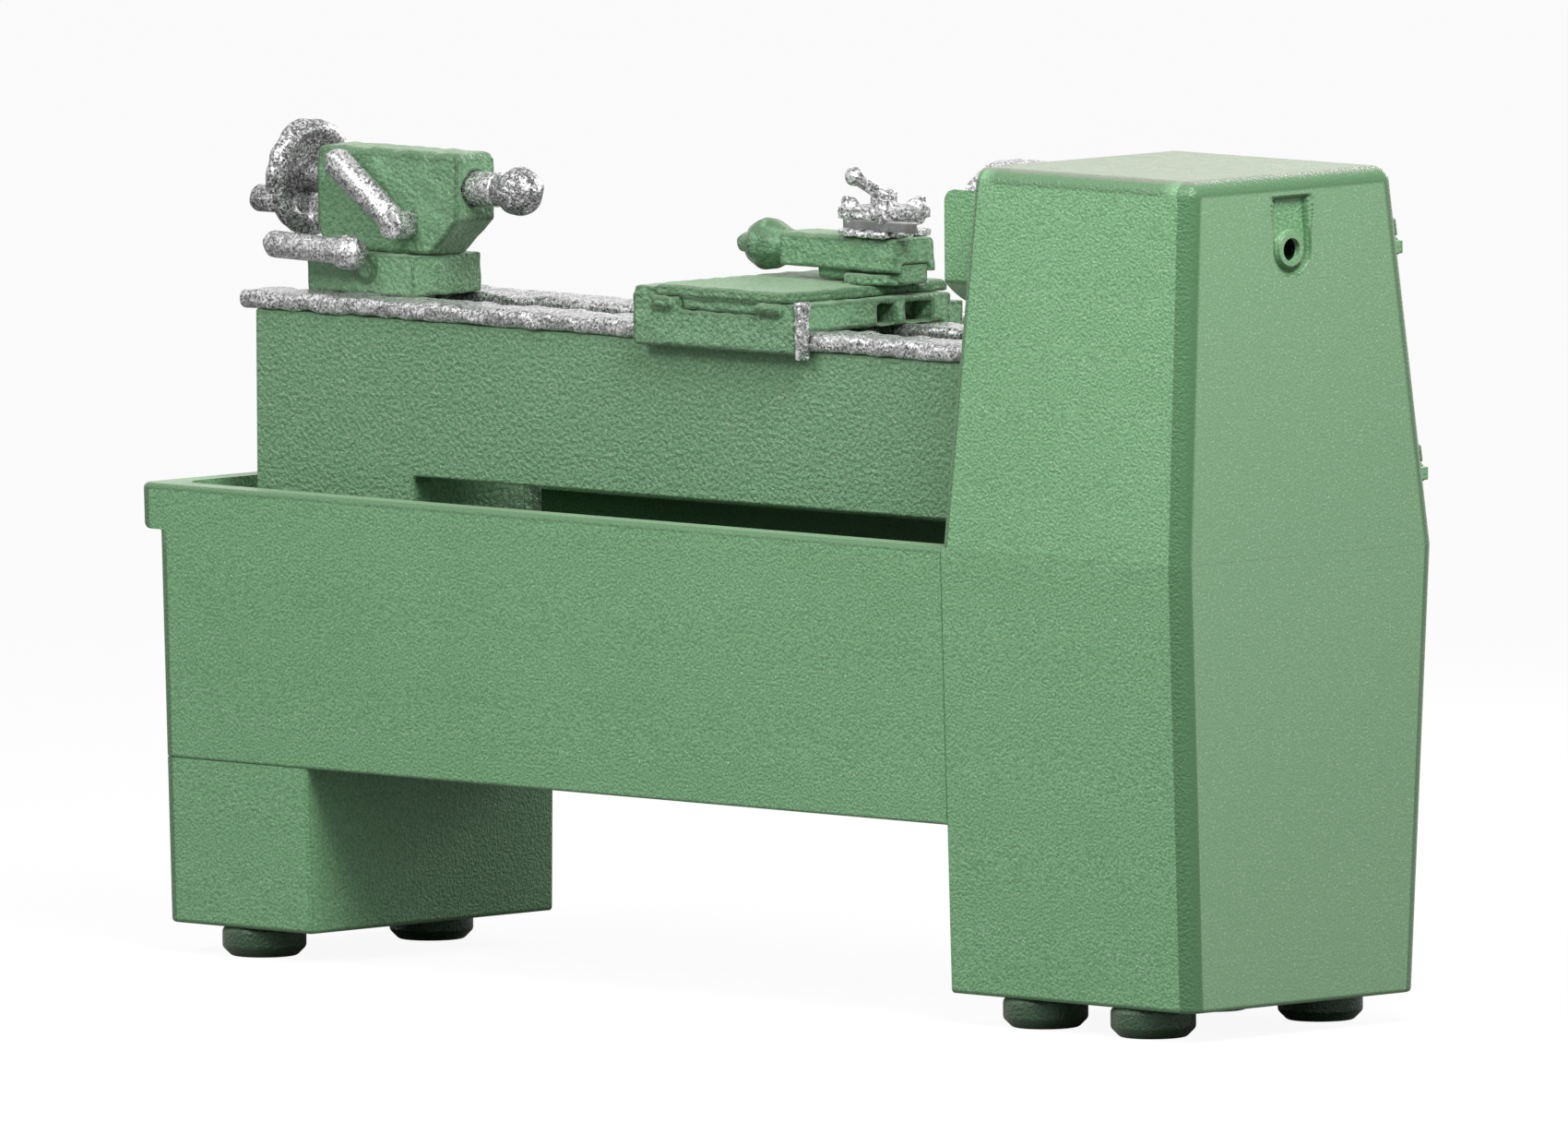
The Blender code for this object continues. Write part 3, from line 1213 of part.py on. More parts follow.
# ---------------------------------------------------------------- tailstock
def make_tailstock(base):
    """The tailstock, its quill, centre and handwheel, and its two clamps."""
    tail = body("tailstock_slide_body", (0, 0, WAY_TOP), base)
    half = TAILSTOCK_BASE_HALF
    low = WAY_TOP + GAP
    shape = box((TAILSTOCK_BASE_FROM, TAILSTOCK_BASE_TO), (-half, half), (low, TAILSTOCK_BASE_TOP))
    foot = piece("tailstock_base", shape, tail, enamel("tailstock_base_enamel"), False)
    boss = rod(half - 0.012, CLAMP_SEAT, 0.021, (CLAMP_X, 0, CLAMP_Z - 0.024), "Y", 20)
    join(foot, boss)

    bottom = TAILSTOCK_BASE_TOP + GAP
    outline = [
        (TAILSTOCK_FROM, bottom + 0.055),
        (TAILSTOCK_FROM + 0.062, bottom),
        (TAILSTOCK_TO - 0.022, bottom),
        (TAILSTOCK_TO, bottom + 0.028),
        (TAILSTOCK_TO, TAILSTOCK_TOP),
        (TAILSTOCK_FROM, TAILSTOCK_TOP),
    ]
    wide = TAILSTOCK_HALF_WIDTH
    shape = extruded(outline, -wide, wide, "Y")
    top_edge = TAILSTOCK_TOP - 1e-4
    rounded(shape, 0.010, 2, lambda a, b: a.z > top_edge and b.z > top_edge)
    barrel = piece("tailstock_body", shape, tail, enamel("tailstock_enamel"), False)
    axis = (0, 0, SPINDLE_HEIGHT)
    cut(
        barrel,
        rod(TAILSTOCK_FROM - 0.01, TAILSTOCK_TO - 0.020, hole(QUILL_RADIUS), axis),
        rod(TAILSTOCK_TO - 0.030, TAILSTOCK_TO + 0.01, hole(SCREW_SHAFT, 20), axis, sides=20),
    )

    plate_top = BED_TOP - GAP
    middle = (TAILSTOCK_BASE_FROM + TAILSTOCK_BASE_TO) / 2 - 0.001
    plate = box((middle - 0.070, middle + 0.070), (-0.080, 0.080), (plate_top - CLAMP_PLATE, plate_top))
    clamp = piece("tailstock_clamp_plate", plate, tail, metal("clamp_steel", STEEL), False)
    join(clamp, box((middle - 0.035, middle + 0.035), (-0.052, 0.052), (plate_top - 0.005, WAY_TOP)))

    sliding = body("quill_body", axis, tail)
    quill_end = TAILSTOCK_TO - 0.026
    shape = tube(QUILL_TIP, quill_end, QUILL_RADIUS, hole(QUILL_BORE), axis)
    piece("quill", shape, sliding, metal("quill_silver"))
    spinning = body("live_centre_body", axis, sliding)
    neck = QUILL_TIP - GAP
    profile = [(CENTRE_X - CENTRE_BULB - 0.004, 0.0), (CENTRE_X - CENTRE_BULB + 0.001, 0.007)]
    for k in range(1, 8):
        angle = math.pi - math.radians(12) - math.radians(128) * k / 7
        profile.append((CENTRE_X + CENTRE_BULB * math.cos(angle), CENTRE_BULB * math.sin(angle)))
    profile += [
        (neck, 0.0235),
        (neck, QUILL_BORE),
        (neck + 0.060, QUILL_BORE),
        (neck + 0.060, 0.0),
    ]
    piece("live_centre", turned(profile, axis, sides=20), spinning, metal("centre_silver"))

    turning = body("tailstock_handwheel_body", (TAIL_WHEEL_X, 0, SPINDLE_HEIGHT), tail)
    shape = spun_wheel(
        "X",
        axis,
        TAIL_WHEEL_X,
        0.023,
        TAIL_WHEEL_RADIUS,
        0.024,
        0.021,
        TAILSTOCK_TO + GAP,
        TAIL_WHEEL_X + 0.027,
    )
    wheel = piece("tailstock_handwheel", shape, turning, metal("tail_wheel_silver"))
    grip = (0, 0.069, SPINDLE_HEIGHT - 0.031)
    join(
        wheel,
        rod(TAIL_WHEEL_X + 0.012, TAIL_WHEEL_X + 0.063, 0.016, grip, sides=16),
        rod(TAILSTOCK_TO - 0.024, TAILSTOCK_TO + 0.01, SCREW_SHAFT, axis, sides=20),
    )
    make_tailstock_levers(tail)


def make_tailstock_levers(tail):
    """The quill lock and the bed clamp, both on the rear side."""
    face = TAILSTOCK_HALF_WIDTH + GAP
    turning = body("quill_lever_body", (QUILL_LEVER_X, face, QUILL_LEVER_Z), tail)
    hub = rod(face, face + 0.038, 0.019, (QUILL_LEVER_X, 0, QUILL_LEVER_Z), "Y", 20)
    lever = piece("quill_lever", hub, turning, metal("quill_lever_silver"))
    middle = face + 0.0175
    start = (QUILL_LEVER_X, middle, QUILL_LEVER_Z)
    dx, dz = QUILL_LEVER_REACH
    end = (QUILL_LEVER_X + dx, middle, QUILL_LEVER_Z + dz)
    join(lever, bar(start, end, 0.0155, 16), ball(end, 0.0165, 16, 8))

    turning = body("tailstock_clamp_lever_body", (CLAMP_X, CLAMP_Y, CLAMP_Z), tail)
    shape = ball((CLAMP_X, CLAMP_Y + 0.004, CLAMP_Z), 0.0225, 16, 8)
    lever = piece("tailstock_clamp_lever", shape, turning, metal("clamp_lever_silver"))
    start = (CLAMP_X, CLAMP_Y + 0.004, CLAMP_Z)
    end = (CLAMP_X + CLAMP_LENGTH, CLAMP_Y + 0.004, CLAMP_Z + 0.004)
    hub = rod(CLAMP_SEAT + GAP, CLAMP_Y, 0.012, (CLAMP_X, 0, CLAMP_Z), "Y", 16)
    join(lever, bar(start, end, 0.0175, 16), hub)


# ---------------------------------------------------------------- the whole machine
def main():
    global machine
    for old in list(bpy.data.objects):
        bpy.data.objects.remove(old, do_unlink=True)
    machine = bpy.data.objects.new("machine", None)
    bpy.context.scene.collection.objects.link(machine)
    machine.location = (0.0, ORIGIN_SHIFT, 0.0)
    base = body("base_body")
    make_base(base)
    make_tray(base)
    make_bed(base)
    make_housing(base)
    make_cover(base)
    make_spindle(base)
    make_drive(base)
    make_feed(base)
    make_guard(base)
    make_controls(base)
    carriage = make_carriage(base)
    make_slides(carriage)
    make_tailstock(base)


main()
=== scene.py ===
"""Looks of a centre lathe on a cabinet base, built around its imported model.

The castings wear green hammered enamel and the bright parts a coarse silver flake. Each
sub-assembly is a class whose sizes are fields and whose methods make and dress its pieces.
A piece is a surface worked out on a grid of rings and takes its place from the model's boxes.
"""

import logging
import math
from dataclasses import dataclass, field
from enum import Enum
from typing import Any, Sequence

import bmesh
import bpy
import numpy as np
from mathutils import Matrix, Vector


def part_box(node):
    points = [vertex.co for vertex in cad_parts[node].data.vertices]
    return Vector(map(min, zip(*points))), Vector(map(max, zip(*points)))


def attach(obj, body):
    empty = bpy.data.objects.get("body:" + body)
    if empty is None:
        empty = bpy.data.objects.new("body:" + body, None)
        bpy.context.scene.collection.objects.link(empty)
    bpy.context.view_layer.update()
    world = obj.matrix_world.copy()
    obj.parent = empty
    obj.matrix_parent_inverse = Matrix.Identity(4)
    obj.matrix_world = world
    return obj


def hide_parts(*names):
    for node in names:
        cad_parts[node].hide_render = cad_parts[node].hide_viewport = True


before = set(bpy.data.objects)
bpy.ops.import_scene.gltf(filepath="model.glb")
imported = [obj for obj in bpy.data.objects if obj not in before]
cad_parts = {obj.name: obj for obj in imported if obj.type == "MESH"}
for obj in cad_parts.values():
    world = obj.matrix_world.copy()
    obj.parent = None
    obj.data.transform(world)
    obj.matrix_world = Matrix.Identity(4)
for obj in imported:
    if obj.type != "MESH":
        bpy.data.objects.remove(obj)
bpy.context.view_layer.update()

Array = np.ndarray
Socket = bpy.types.NodeSocket
Material = bpy.types.Material
Point = tuple[float, float, float]
Pair = tuple[float, float]
SUPPORT = 0.0008  # distance of a support ring from the edge that it keeps crisp
WELD = 0.00001  # points that lie closer than this are one point
GAP = 0.0003  # room between two pieces that face each other
BALL_BAR = 0.0005  # length of the bar in a ball, which is a capsule
NO_LUMPS: Pair = (0.0, 1.0)
log = logging.getLogger("lathe")


class Axis(Enum):
    """The axis that a profile is turned about or an outline is pushed along."""

    X = 0
    Y = 1
    Z = 2

    def place(self, along: Array, u: Array, v: Array) -> Array:
        """Stacks the place along the axis and the two places across it as x, y, z."""
        order = {Axis.X: (along, u, v), Axis.Y: (u, along, v), Axis.Z: (u, v, along)}
        return np.stack(np.broadcast_arrays(*order[self]), axis=-1)


class Slot(Enum):
    """The record's material slots."""

    GREEN = "green_enamel"
    DARK = "dark_green_enamel"
    SILVER = "silver_paint"
    STEEL = "bare_steel"
    BELT = "belt_rubber"
    BLACK = "black_plastic"
    RED = "red_plastic"


# ---------------------------------------------------------------- measures
@dataclass(frozen=True)
class Span:
    """The box of one or more nodes of the model at rest."""

    low: Vector
    high: Vector

    @classmethod
    def of(cls, node: str) -> "Span":
        """The span of a node."""
        return cls(*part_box(node))

    @property
    def middle(self) -> Vector:
        """The centre of the box."""
        return (self.low + self.high) / 2

    @property
    def size(self) -> Vector:
        """The lengths of the box's sides."""
        return self.high - self.low


def lerp(low: float, high: float, share: float) -> float:
    """The value a share of the way from low to high."""
    return low + (high - low) * share


def smooth_step(value: Array) -> Array:
    """0 below 0, 1 above 1 and the cubic 3t^2 - 2t^3 between."""
    t = np.clip(value, 0.0, 1.0)
    return t * t * (3.0 - 2.0 * t)


# ---------------------------------------------------------------- surfaces
@dataclass
class Shell:
    """One closed surface: its points, its quads and its flat end faces."""

    points: Array
    quads: Array
    caps: list[list[int]]

    @classmethod
    def from_rings(cls, rings: Array, looped: bool = False) -> "Shell":
        """Joins each ring of points to the next one.

        Args:
            rings: points as (ring, place in the ring, xyz).
            looped: the last ring joins the first. Otherwise both get an end face.

        Returns:
            The closed surface.
        """
        index = np.arange(rings.shape[0] * rings.shape[1]).reshape(rings.shape[:2])
        beside = np.roll(index, -1, axis=1)
        above = np.roll(index, -1, axis=0)
        quads = np.stack([index, beside, np.roll(beside, -1, axis=0), above], axis=-1)
        kept = quads if looped else quads[:-1]
        caps = [] if looped else [index[0][::-1].tolist(), index[-1].tolist()]
        return cls(rings.reshape(-1, 3), kept.reshape(-1, 4), caps)

    def moved(self, matrix: Matrix) -> "Shell":
        """The same surface with a matrix applied to each point."""
        m = np.array(matrix)
        return Shell(self.points @ m[:3, :3].T + m[:3, 3], self.quads, self.caps)


def corner_arcs(corners: Array, radii: Array, arc: int) -> tuple[Array, Array, Array]:
    """The arc that rounds each corner of a closed outline.

    The arc's centre lies at its radius from both sides, so it starts radius * tan(turn / 2)
    before the corner and turns by the angle between the two sides.

    Args:
        corners: the outline's corners, as (corner, 2).
        radii: one radius for each corner.
        arc: steps along each arc.

    Returns:
        The arcs' points as (corner, arc + 1, 2), then where each starts and ends.
    """
    ahead = np.roll(corners, -1, axis=0) - corners
    ahead = ahead / np.linalg.norm(ahead, axis=1, keepdims=True)
    behind = np.roll(ahead, 1, axis=0)
    cross = behind[:, 0] * ahead[:, 1] - behind[:, 1] * ahead[:, 0]
    turn = np.arctan2(cross, (behind * ahead).sum(axis=1))
    cut = (radii * np.tan(np.abs(turn) / 2))[:, None]
    start, end = corners - behind * cut, corners + ahead * cut
    left = np.stack([-behind[:, 1], behind[:, 0]], axis=-1)
    centre = start + left * (radii * np.sign(turn))[:, None]
    arm = (start - centre)[:, None]
    angle = turn[:, None] * np.linspace(0.0, 1.0, arc + 1)
    cos, sin = np.cos(angle), np.sin(angle)
    x = arm[..., 0] * cos - arm[..., 1] * sin
    y = arm[..., 0] * sin + arm[..., 1] * cos
    return centre[:, None] + np.stack([x, y], axis=-1), start, end


def inset_corners(corners: Array, distances: Array) -> Array:
    """Each side moved inwards by its own distance: a corner goes where its two sides meet.

    Args:
        corners: the outline's corners, anticlockwise, as (corner, 2).
        distances: how far each side moves. Side i runs from corner i to the next.

    Returns:
        The new corners, as (corner, 2).
    """
    ahead = np.roll(corners, -1, axis=0) - corners
    ahead = ahead / np.linalg.norm(ahead, axis=1, keepdims=True)
    inward = np.stack([-ahead[:, 1], ahead[:, 0]], axis=-1)
    sides = np.stack([np.roll(inward, 1, axis=0), inward], axis=1)
    moves = np.stack([np.roll(distances, 1), distances], axis=-1)
    return corners + np.linalg.solve(sides, moves[..., None])[..., 0]


def outline(
    corners: Sequence[Pair],
    radii: float | Sequence[float],
    inset: float = 0.0,
    keep: Sequence[int] = (),
    arc: int = 8,
    side: int = 6,
) -> Array:
    """A closed outline with rounded corners, set in from its own sides.

    Args:
        corners: its corners, anticlockwise.
        radii: the corners' radii. A bay's radius grows with the inset, the others shrink.
        inset: how far the sides move in.
        keep: sides that stay where they are. Side i runs from corner i to the next.
        arc: steps along each corner.
        side: points along each straight side.

    Returns:
        Its points, as (point, 2).
    """
    given = np.asarray(corners, float)
    rounds = np.broadcast_to(np.asarray(radii, float), len(given))
    distances = np.full(len(given), inset)
    distances[list(keep)] = 0.0
    ahead = np.roll(given, -1, axis=0) - given
    behind = np.roll(ahead, 1, axis=0)
    bay = behind[:, 0] * ahead[:, 1] - behind[:, 1] * ahead[:, 0] < 0
    rounds = np.where(bay, rounds + inset, np.maximum(rounds - inset, 0.0))
    arcs, start, end = corner_arcs(inset_corners(given, distances), rounds, arc)
    after = np.roll(start, -1, axis=0)
    length = np.linalg.norm(after - end, axis=1)[:, None]
    edge = np.minimum(SUPPORT / np.maximum(length, SUPPORT), 0.3)
    share = (edge + (1 - 2 * edge) * np.linspace(0.0, 1.0, side))[..., None]
    straight = end[:, None] * (1 - share) + after[:, None] * share
    return np.concatenate([arcs, straight], axis=1).reshape(-1, 2)


def rim_levels(radius: float, steps: int = 6) -> list[Pair]:
    """(depth, inset) pairs of a quarter round, from the flat end to the wall.

    Args:
        radius: the round's radius. At 0 there is one level only.
        steps: how many steps the quarter round has.

    Returns:
        The pairs, from the end inwards.
    """
    if radius == 0:
        return [(0.0, 0.0)]
    angles = np.linspace(0.0, math.pi / 2, steps + 1)
    arc = [(radius * (1 - math.cos(a)), radius * (1 - math.sin(a))) for a in angles]
    return [(0.0, radius + SUPPORT)] + arc + [(radius + SUPPORT, 0.0)]


def prism(
    corners: Sequence[Pair],
    radii: float | Sequence[float],
    ends: Pair,
    axis: Axis,
    rims: Pair = (0.0, 0.0),
    keep: Sequence[int] = (),
    steps: int = 1,
    arc: int = 8,
    side: int = 6,
) -> Shell:
    """An outline pushed along an axis, with quarter rounds where its wall meets its ends.

    Args:
        corners, radii, keep, arc, side: as for outline().
        ends: where it starts and stops along the axis.
        axis: the axis. The outline's points are the other two places, in order.
        rims: the radius of the round at each end.
        steps: how many rings the wall between the rounds is cut into.

    Returns:
        The closed surface.
    """
    low, high = ends
    first = [(low + depth, inset) for depth, inset in rim_levels(rims[0])]
    last = [(high - depth, inset) for depth, inset in reversed(rim_levels(rims[1]))]
    wall = np.linspace(first[-1][0], last[0][0], steps + 1)[1:-1]
    levels = first + [(level, 0.0) for level in wall] + last
    rings = []
    for level, inset in levels:
        flat = outline(corners, radii, inset, keep, arc, side)
        rings.append(axis.place(np.full(len(flat), level), flat[:, 0], flat[:, 1]))
    return Shell.from_rings(np.array(rings))


def rectangle(x: Pair, y: Pair) -> list[Pair]:
    """The corners of a rectangle, anticlockwise."""
    return [(x[0], y[0]), (x[1], y[0]), (x[1], y[1]), (x[0], y[1])]


def block(x: Pair, y: Pair, z: Pair, radius: float) -> Shell:
    """A box with every edge rounded to one radius."""
    return prism(rectangle(x, y), radius, z, Axis.Z, (radius, radius))


@dataclass(frozen=True)
class Level:
    """A level of a drafted cabinet: its height, its rectangle and how far it is set in."""

    height: float
    x: Pair
    y: Pair
    inset: float = 0.0


def stacked(levels: Sequence[Level], radii: Sequence[float], keep: Sequence[int] = ()) -> Shell:
    """Rounded rectangles joined level by level, with a flat end under and over them.

    Args:
        levels: the rectangles, in the order in which they are joined.
        radii: the radii of their four corners.
        keep: the sides that no inset moves.

    Returns:
        The closed surface.
    """
    rings = []
    for level in levels:
        flat = outline(rectangle(level.x, level.y), radii, level.inset, keep, side=24)
        heights = np.full(len(flat), level.height)
        rings.append(Axis.Z.place(heights, flat[:, 0], flat[:, 1]))
    return Shell.from_rings(np.array(rings))


def soft_line(points: Sequence[Pair], radius: float, arc: int = 5) -> Array:
    """An open profile with its inner corners rounded, by the rule of corner_arcs().

    Args:
        points: (along, radius) points. The first and the last stay sharp.
        radius: the largest radius. It is cut to what the shorter neighbour allows.
        arc: steps along each round.

    Returns:
        The profile's points.
    """
    given = np.asarray(points, float)
    ahead = np.roll(given, -1, axis=0) - given
    length = np.linalg.norm(ahead, axis=1)
    unit = ahead / np.maximum(length, 1e-9)[:, None]
    before = np.roll(unit, 1, axis=0)
    turn = np.arccos(np.clip((unit * before).sum(axis=1), -0.999, 1.0))
    room = 0.45 * np.minimum(length, np.roll(length, 1))
    room[[0, -1]] = 0.0
    rounds = np.minimum(radius, room / np.maximum(np.tan(turn / 2), 1e-6))
    arcs = corner_arcs(given, rounds, arc)[0]
    return np.concatenate([given[:1], arcs[1:-1].reshape(-1, 2), given[-1:]])


def turned(
    profile: Array | Sequence[Pair],
    centre: Pair = (0.0, 0.0),
    axis: Axis = Axis.X,
    sides: int = 72,
    ring: bool = False,
) -> Shell:
    """A profile turned about an axis.

    A point (a, r) of the profile becomes the circle (a, u + r cos t, v + r sin t).

    Args:
        profile: (along, radius) points, from one end to the other.
        centre: where the axis passes, as the two places across it.
        axis: the axis.
        sides: how many points a circle gets.
        ring: the profile is a closed loop, so the surface has a hole.

    Returns:
        The closed surface.
    """
    line = np.asarray(profile, float)
    angle = np.linspace(0.0, math.tau, sides, endpoint=False)
    u = centre[0] + line[:, 1:] * np.cos(angle)
    v = centre[1] + line[:, 1:] * np.sin(angle)
    return Shell.from_rings(axis.place(line[:, :1], u, v), looped=ring)


def rod(
    ends: Pair, radius: float, centre: Pair, axis: Axis, soft: float = 0.002, sides: int = 48
) -> Shell:
    """A round bar with softened rims.

    Args:
        ends: where it starts and stops along the axis.
        radius: its radius.
        centre: where the axis passes, as the two places across it.
        axis: the axis.
        soft: the radius of its rims.
        sides: how many points a circle gets.

    Returns:
        The closed surface.
    """
    low, high = ends
    points = [(low, 0.0), (low, radius), (high, radius), (high, 0.0)]
    return turned(soft_line(points, soft), centre, axis, sides)


def ball_profile(radius: float, steps: int = 16) -> Array:
    """Half a circle as (along, radius) points: (-r cos t, r sin t)."""
    angle = np.linspace(0.0, math.pi, steps + 1)
    return np.stack([-radius * np.cos(angle), radius * np.sin(angle)], axis=-1)


def onto_line(shell: Shell, start: Sequence[float], end: Sequence[float]) -> Shell:
    """Turns a surface made along +X from the origin onto the line from start to end.

    Args:
        shell: the surface.
        start: where its origin goes.
        end: the place that its +X then points at.

    Returns:
        The moved surface.
    """
    way = Vector(end) - Vector(start)
    turn = Vector((1.0, 0.0, 0.0)).rotation_difference(way).to_matrix().to_4x4()
    return shell.moved(Matrix.Translation(Vector(start)) @ turn)


def capsule(start: Sequence[float], end: Sequence[float], radii: Pair, sides: int = 32) -> Shell:
    """A bar with round ends, whose radius goes from the first value to the second.

    Args:
        start, end: the centres of its two round ends.
        radii: the radius at each end.
        sides: how many points a circle gets.

    Returns:
        The closed surface.
    """
    length = (Vector(end) - Vector(start)).length
    first = ball_profile(radii[0])
    last = ball_profile(radii[1]) + (length, 0.0)
    half = len(first) // 2 + 1
    line = np.concatenate([first[:half], last[half - 1 :]])
    return onto_line(turned(line, sides=sides), start, end)


def ball(centre: Sequence[float], radius: float, axis: Axis = Axis.Z, sides: int = 32) -> Shell:
    """A ball: a capsule of next to no length, with its poles along the axis.

    Args:
        centre: its centre.
        radius: its radius.
        axis: the line through its poles.
        sides: how many points a circle gets.

    Returns:
        The closed surface.
    """
    end = list(centre)
    end[axis.value] += BALL_BAR
    return capsule(centre, end, (radius, radius), sides)


def plate_with_hole(flat: Array, centre: Pair, radius: float, ends: Pair) -> Shell:
    """A plate across X with a round hole: its outline's points face the hole's by angle.

    Args:
        flat: the outline's (y, z) points.
        centre: the hole's centre, as (y, z).
        radius: the hole's radius.
        ends: X of its two faces.

    Returns:
        The closed surface, which has a hole.
    """
    angle = np.arctan2(flat[:, 1] - centre[1], flat[:, 0] - centre[0])
    circle = np.stack([np.cos(angle), np.sin(angle)], axis=-1) * radius + centre
    loops = [(flat, ends[0]), (flat, ends[1]), (circle, ends[1]), (circle, ends[0])]
    rings = [Axis.X.place(np.full(len(p), x), p[:, 0], p[:, 1]) for p, x in loops]
    return Shell.from_rings(np.array(rings), looped=True)


def waves(points: Array, size: float, seed: int, count: int = 14) -> Array:
    """A smooth wandering vector at each point, about one long.

    Each of its three parts is a sum of sines along seeded directions, with wavelengths
    around the given size.

    Args:
        points: the places, as (point, 3).
        size: the mean wavelength, roughly.
        seed: the seed of the directions, the wavelengths and the phases.
        count: how many sines each part adds up.

    Returns:
        The vectors, as (point, 3).
    """
    rng = np.random.default_rng(seed)
    ways = rng.normal(size=(3, count, 3))
    ways /= np.linalg.norm(ways, axis=-1, keepdims=True)
    ways *= math.tau / (size * rng.uniform(0.7, 1.8, (3, count, 1)))
    phase = rng.uniform(0.0, math.tau, (3, count))
    value = np.sin(np.einsum("nj,ckj->nck", points, ways) + phase).sum(axis=-1)
    return value / math.sqrt(count / 2)


# ---------------------------------------------------------------- finishes
class Nodes:
    """The node tree of one new material."""

    def __init__(self, name: str) -> None:
        """Makes the material with its shader and its own coordinates.

        Args:
            name: the material's name.
        """
        self.material = bpy.data.materials.new(name)
        self.material.use_nodes = True
        self.tree = self.material.node_tree
        self.shader = self.tree.nodes["Principled BSDF"]
        self.where = self.add("ShaderNodeTexCoord").outputs["Object"]

    def add(self, kind: str, **settings: object) -> bpy.types.Node:
        """Adds a node and sets its properties.

        Args:
            kind: Blender's name of the kind of node.
            settings: its properties, by name.

        Returns:
            The new node.
        """
        node = self.tree.nodes.new(kind)
        for key, value in settings.items():
            setattr(node, key, value)
        return node

    def feed(self, node: bpy.types.Node, **inputs: object) -> bpy.types.Node:
        """Sets a node's inputs, by their names with _ for spaces, to values or sockets.

        Args:
            node: the node.
            inputs: the value or the socket for each input.

        Returns:
            The same node.
        """
        for key, value in inputs.items():
            socket = node.inputs[key.replace("_", " ")]
            if isinstance(value, Socket):
                self.tree.links.new(value, socket)
            else:
                socket.default_value = value
        return node

    def noise(self, size: float, detail: float = 2.0, stretch: Point = (1, 1, 1)) -> Socket:
        """Noise with grains of about the given size, in metres.

        Args:
            size: the grains' size.
            detail: how many finer octaves are added.
            stretch: the scale along X, Y and Z before that.

        Returns:
            The noise, mostly between 0.3 and 0.7.
        """
        where = self.where
        if stretch != (1, 1, 1):
            mapping = self.feed(self.add("ShaderNodeMapping"), Vector=where, Scale=stretch)
            where = mapping.outputs["Vector"]
        node = self.add("ShaderNodeTexNoise")
        return self.feed(node, Vector=where, Scale=1 / size, Detail=detail).outputs["Fac"]

    def cells(self, size: float) -> Socket:
        """A value that is the same all over one cell and random from cell to cell."""
        node = self.feed(self.add("ShaderNodeTexVoronoi"), Vector=self.where, Scale=1 / size)
        return node.outputs["Color"]

    def ramp(self, value: Socket, stops: Sequence[tuple[float, Point]]) -> Socket:
        """A colour read from a value, between the given (place, colour) stops.

        Args:
            value: the value that is looked up.
            stops: the places from 0 to 1 with their colours.

        Returns:
            The colour.
        """
        node = self.feed(self.add("ShaderNodeValToRGB"), Fac=value)
        band = node.color_ramp
        while len(band.elements) < len(stops):
            band.elements.new(0.5)
        for element, (place, colour) in zip(band.elements, stops):
            element.position = place
            element.color = (*colour, 1.0)
        return node.outputs["Color"]

    def mix(self, share: object, first: object, second: object) -> Socket:
        """Two colours mixed by a share.

        Args:
            share: how much of the second colour there is, from 0 to 1.
            first, second: the colours. Each is a socket or a value.

        Returns:
            The mixed colour.
        """
        node = self.add("ShaderNodeMix", data_type="RGBA")
        sockets = (node.inputs[0], node.inputs[6], node.inputs[7])
        for socket, value in zip(sockets, (share, first, second)):
            if isinstance(value, Socket):
                self.tree.links.new(value, socket)
            else:
                socket.default_value = (*value, 1.0) if isinstance(value, tuple) else value
        return node.outputs[2]

    def spread(self, value: Socket, to: Pair, source: Pair = (0.3, 0.7)) -> Socket:
        """A value stretched from one range onto another.

        Args:
            value: the value.
            to: the range that it is stretched onto.
            source: the range that it comes from.

        Returns:
            The new value, kept inside the range.
        """
        node = self.feed(self.add("ShaderNodeMapRange"), Value=value)
        node.inputs["From Min"].default_value, node.inputs["From Max"].default_value = source
        node.inputs["To Min"].default_value, node.inputs["To Max"].default_value = to
        return node.outputs["Result"]

    def bump(
        self, height: Socket, depth: float, strength: object = 1.0, below: Socket | None = None
    ) -> Socket:
        """A bumped normal, on top of another when one is given.

        Args:
            height: the height of the relief.
            depth: how deep a height of 1 is, in metres.
            strength: how much of the relief shows, as a value or a socket.
            below: the normal that it is added to.

        Returns:
            The normal.
        """
        node = self.add("ShaderNodeBump")
        self.feed(node, Height=height, Distance=depth, Strength=strength)
        if below is not None:
            self.tree.links.new(below, node.inputs["Normal"])
        return node.outputs["Normal"]

    def along(self, axis: str) -> Socket:
        """The place along one of the object's own axes."""
        return self.feed(self.add("ShaderNodeSeparateXYZ"), Vector=self.where).outputs[axis]

    def edge(self) -> Socket:
        """The piece's own edge attribute: 1 on its rounded edges and 0 on flats."""
        return self.add("ShaderNodeAttribute", attribute_name="edge").outputs["Fac"]


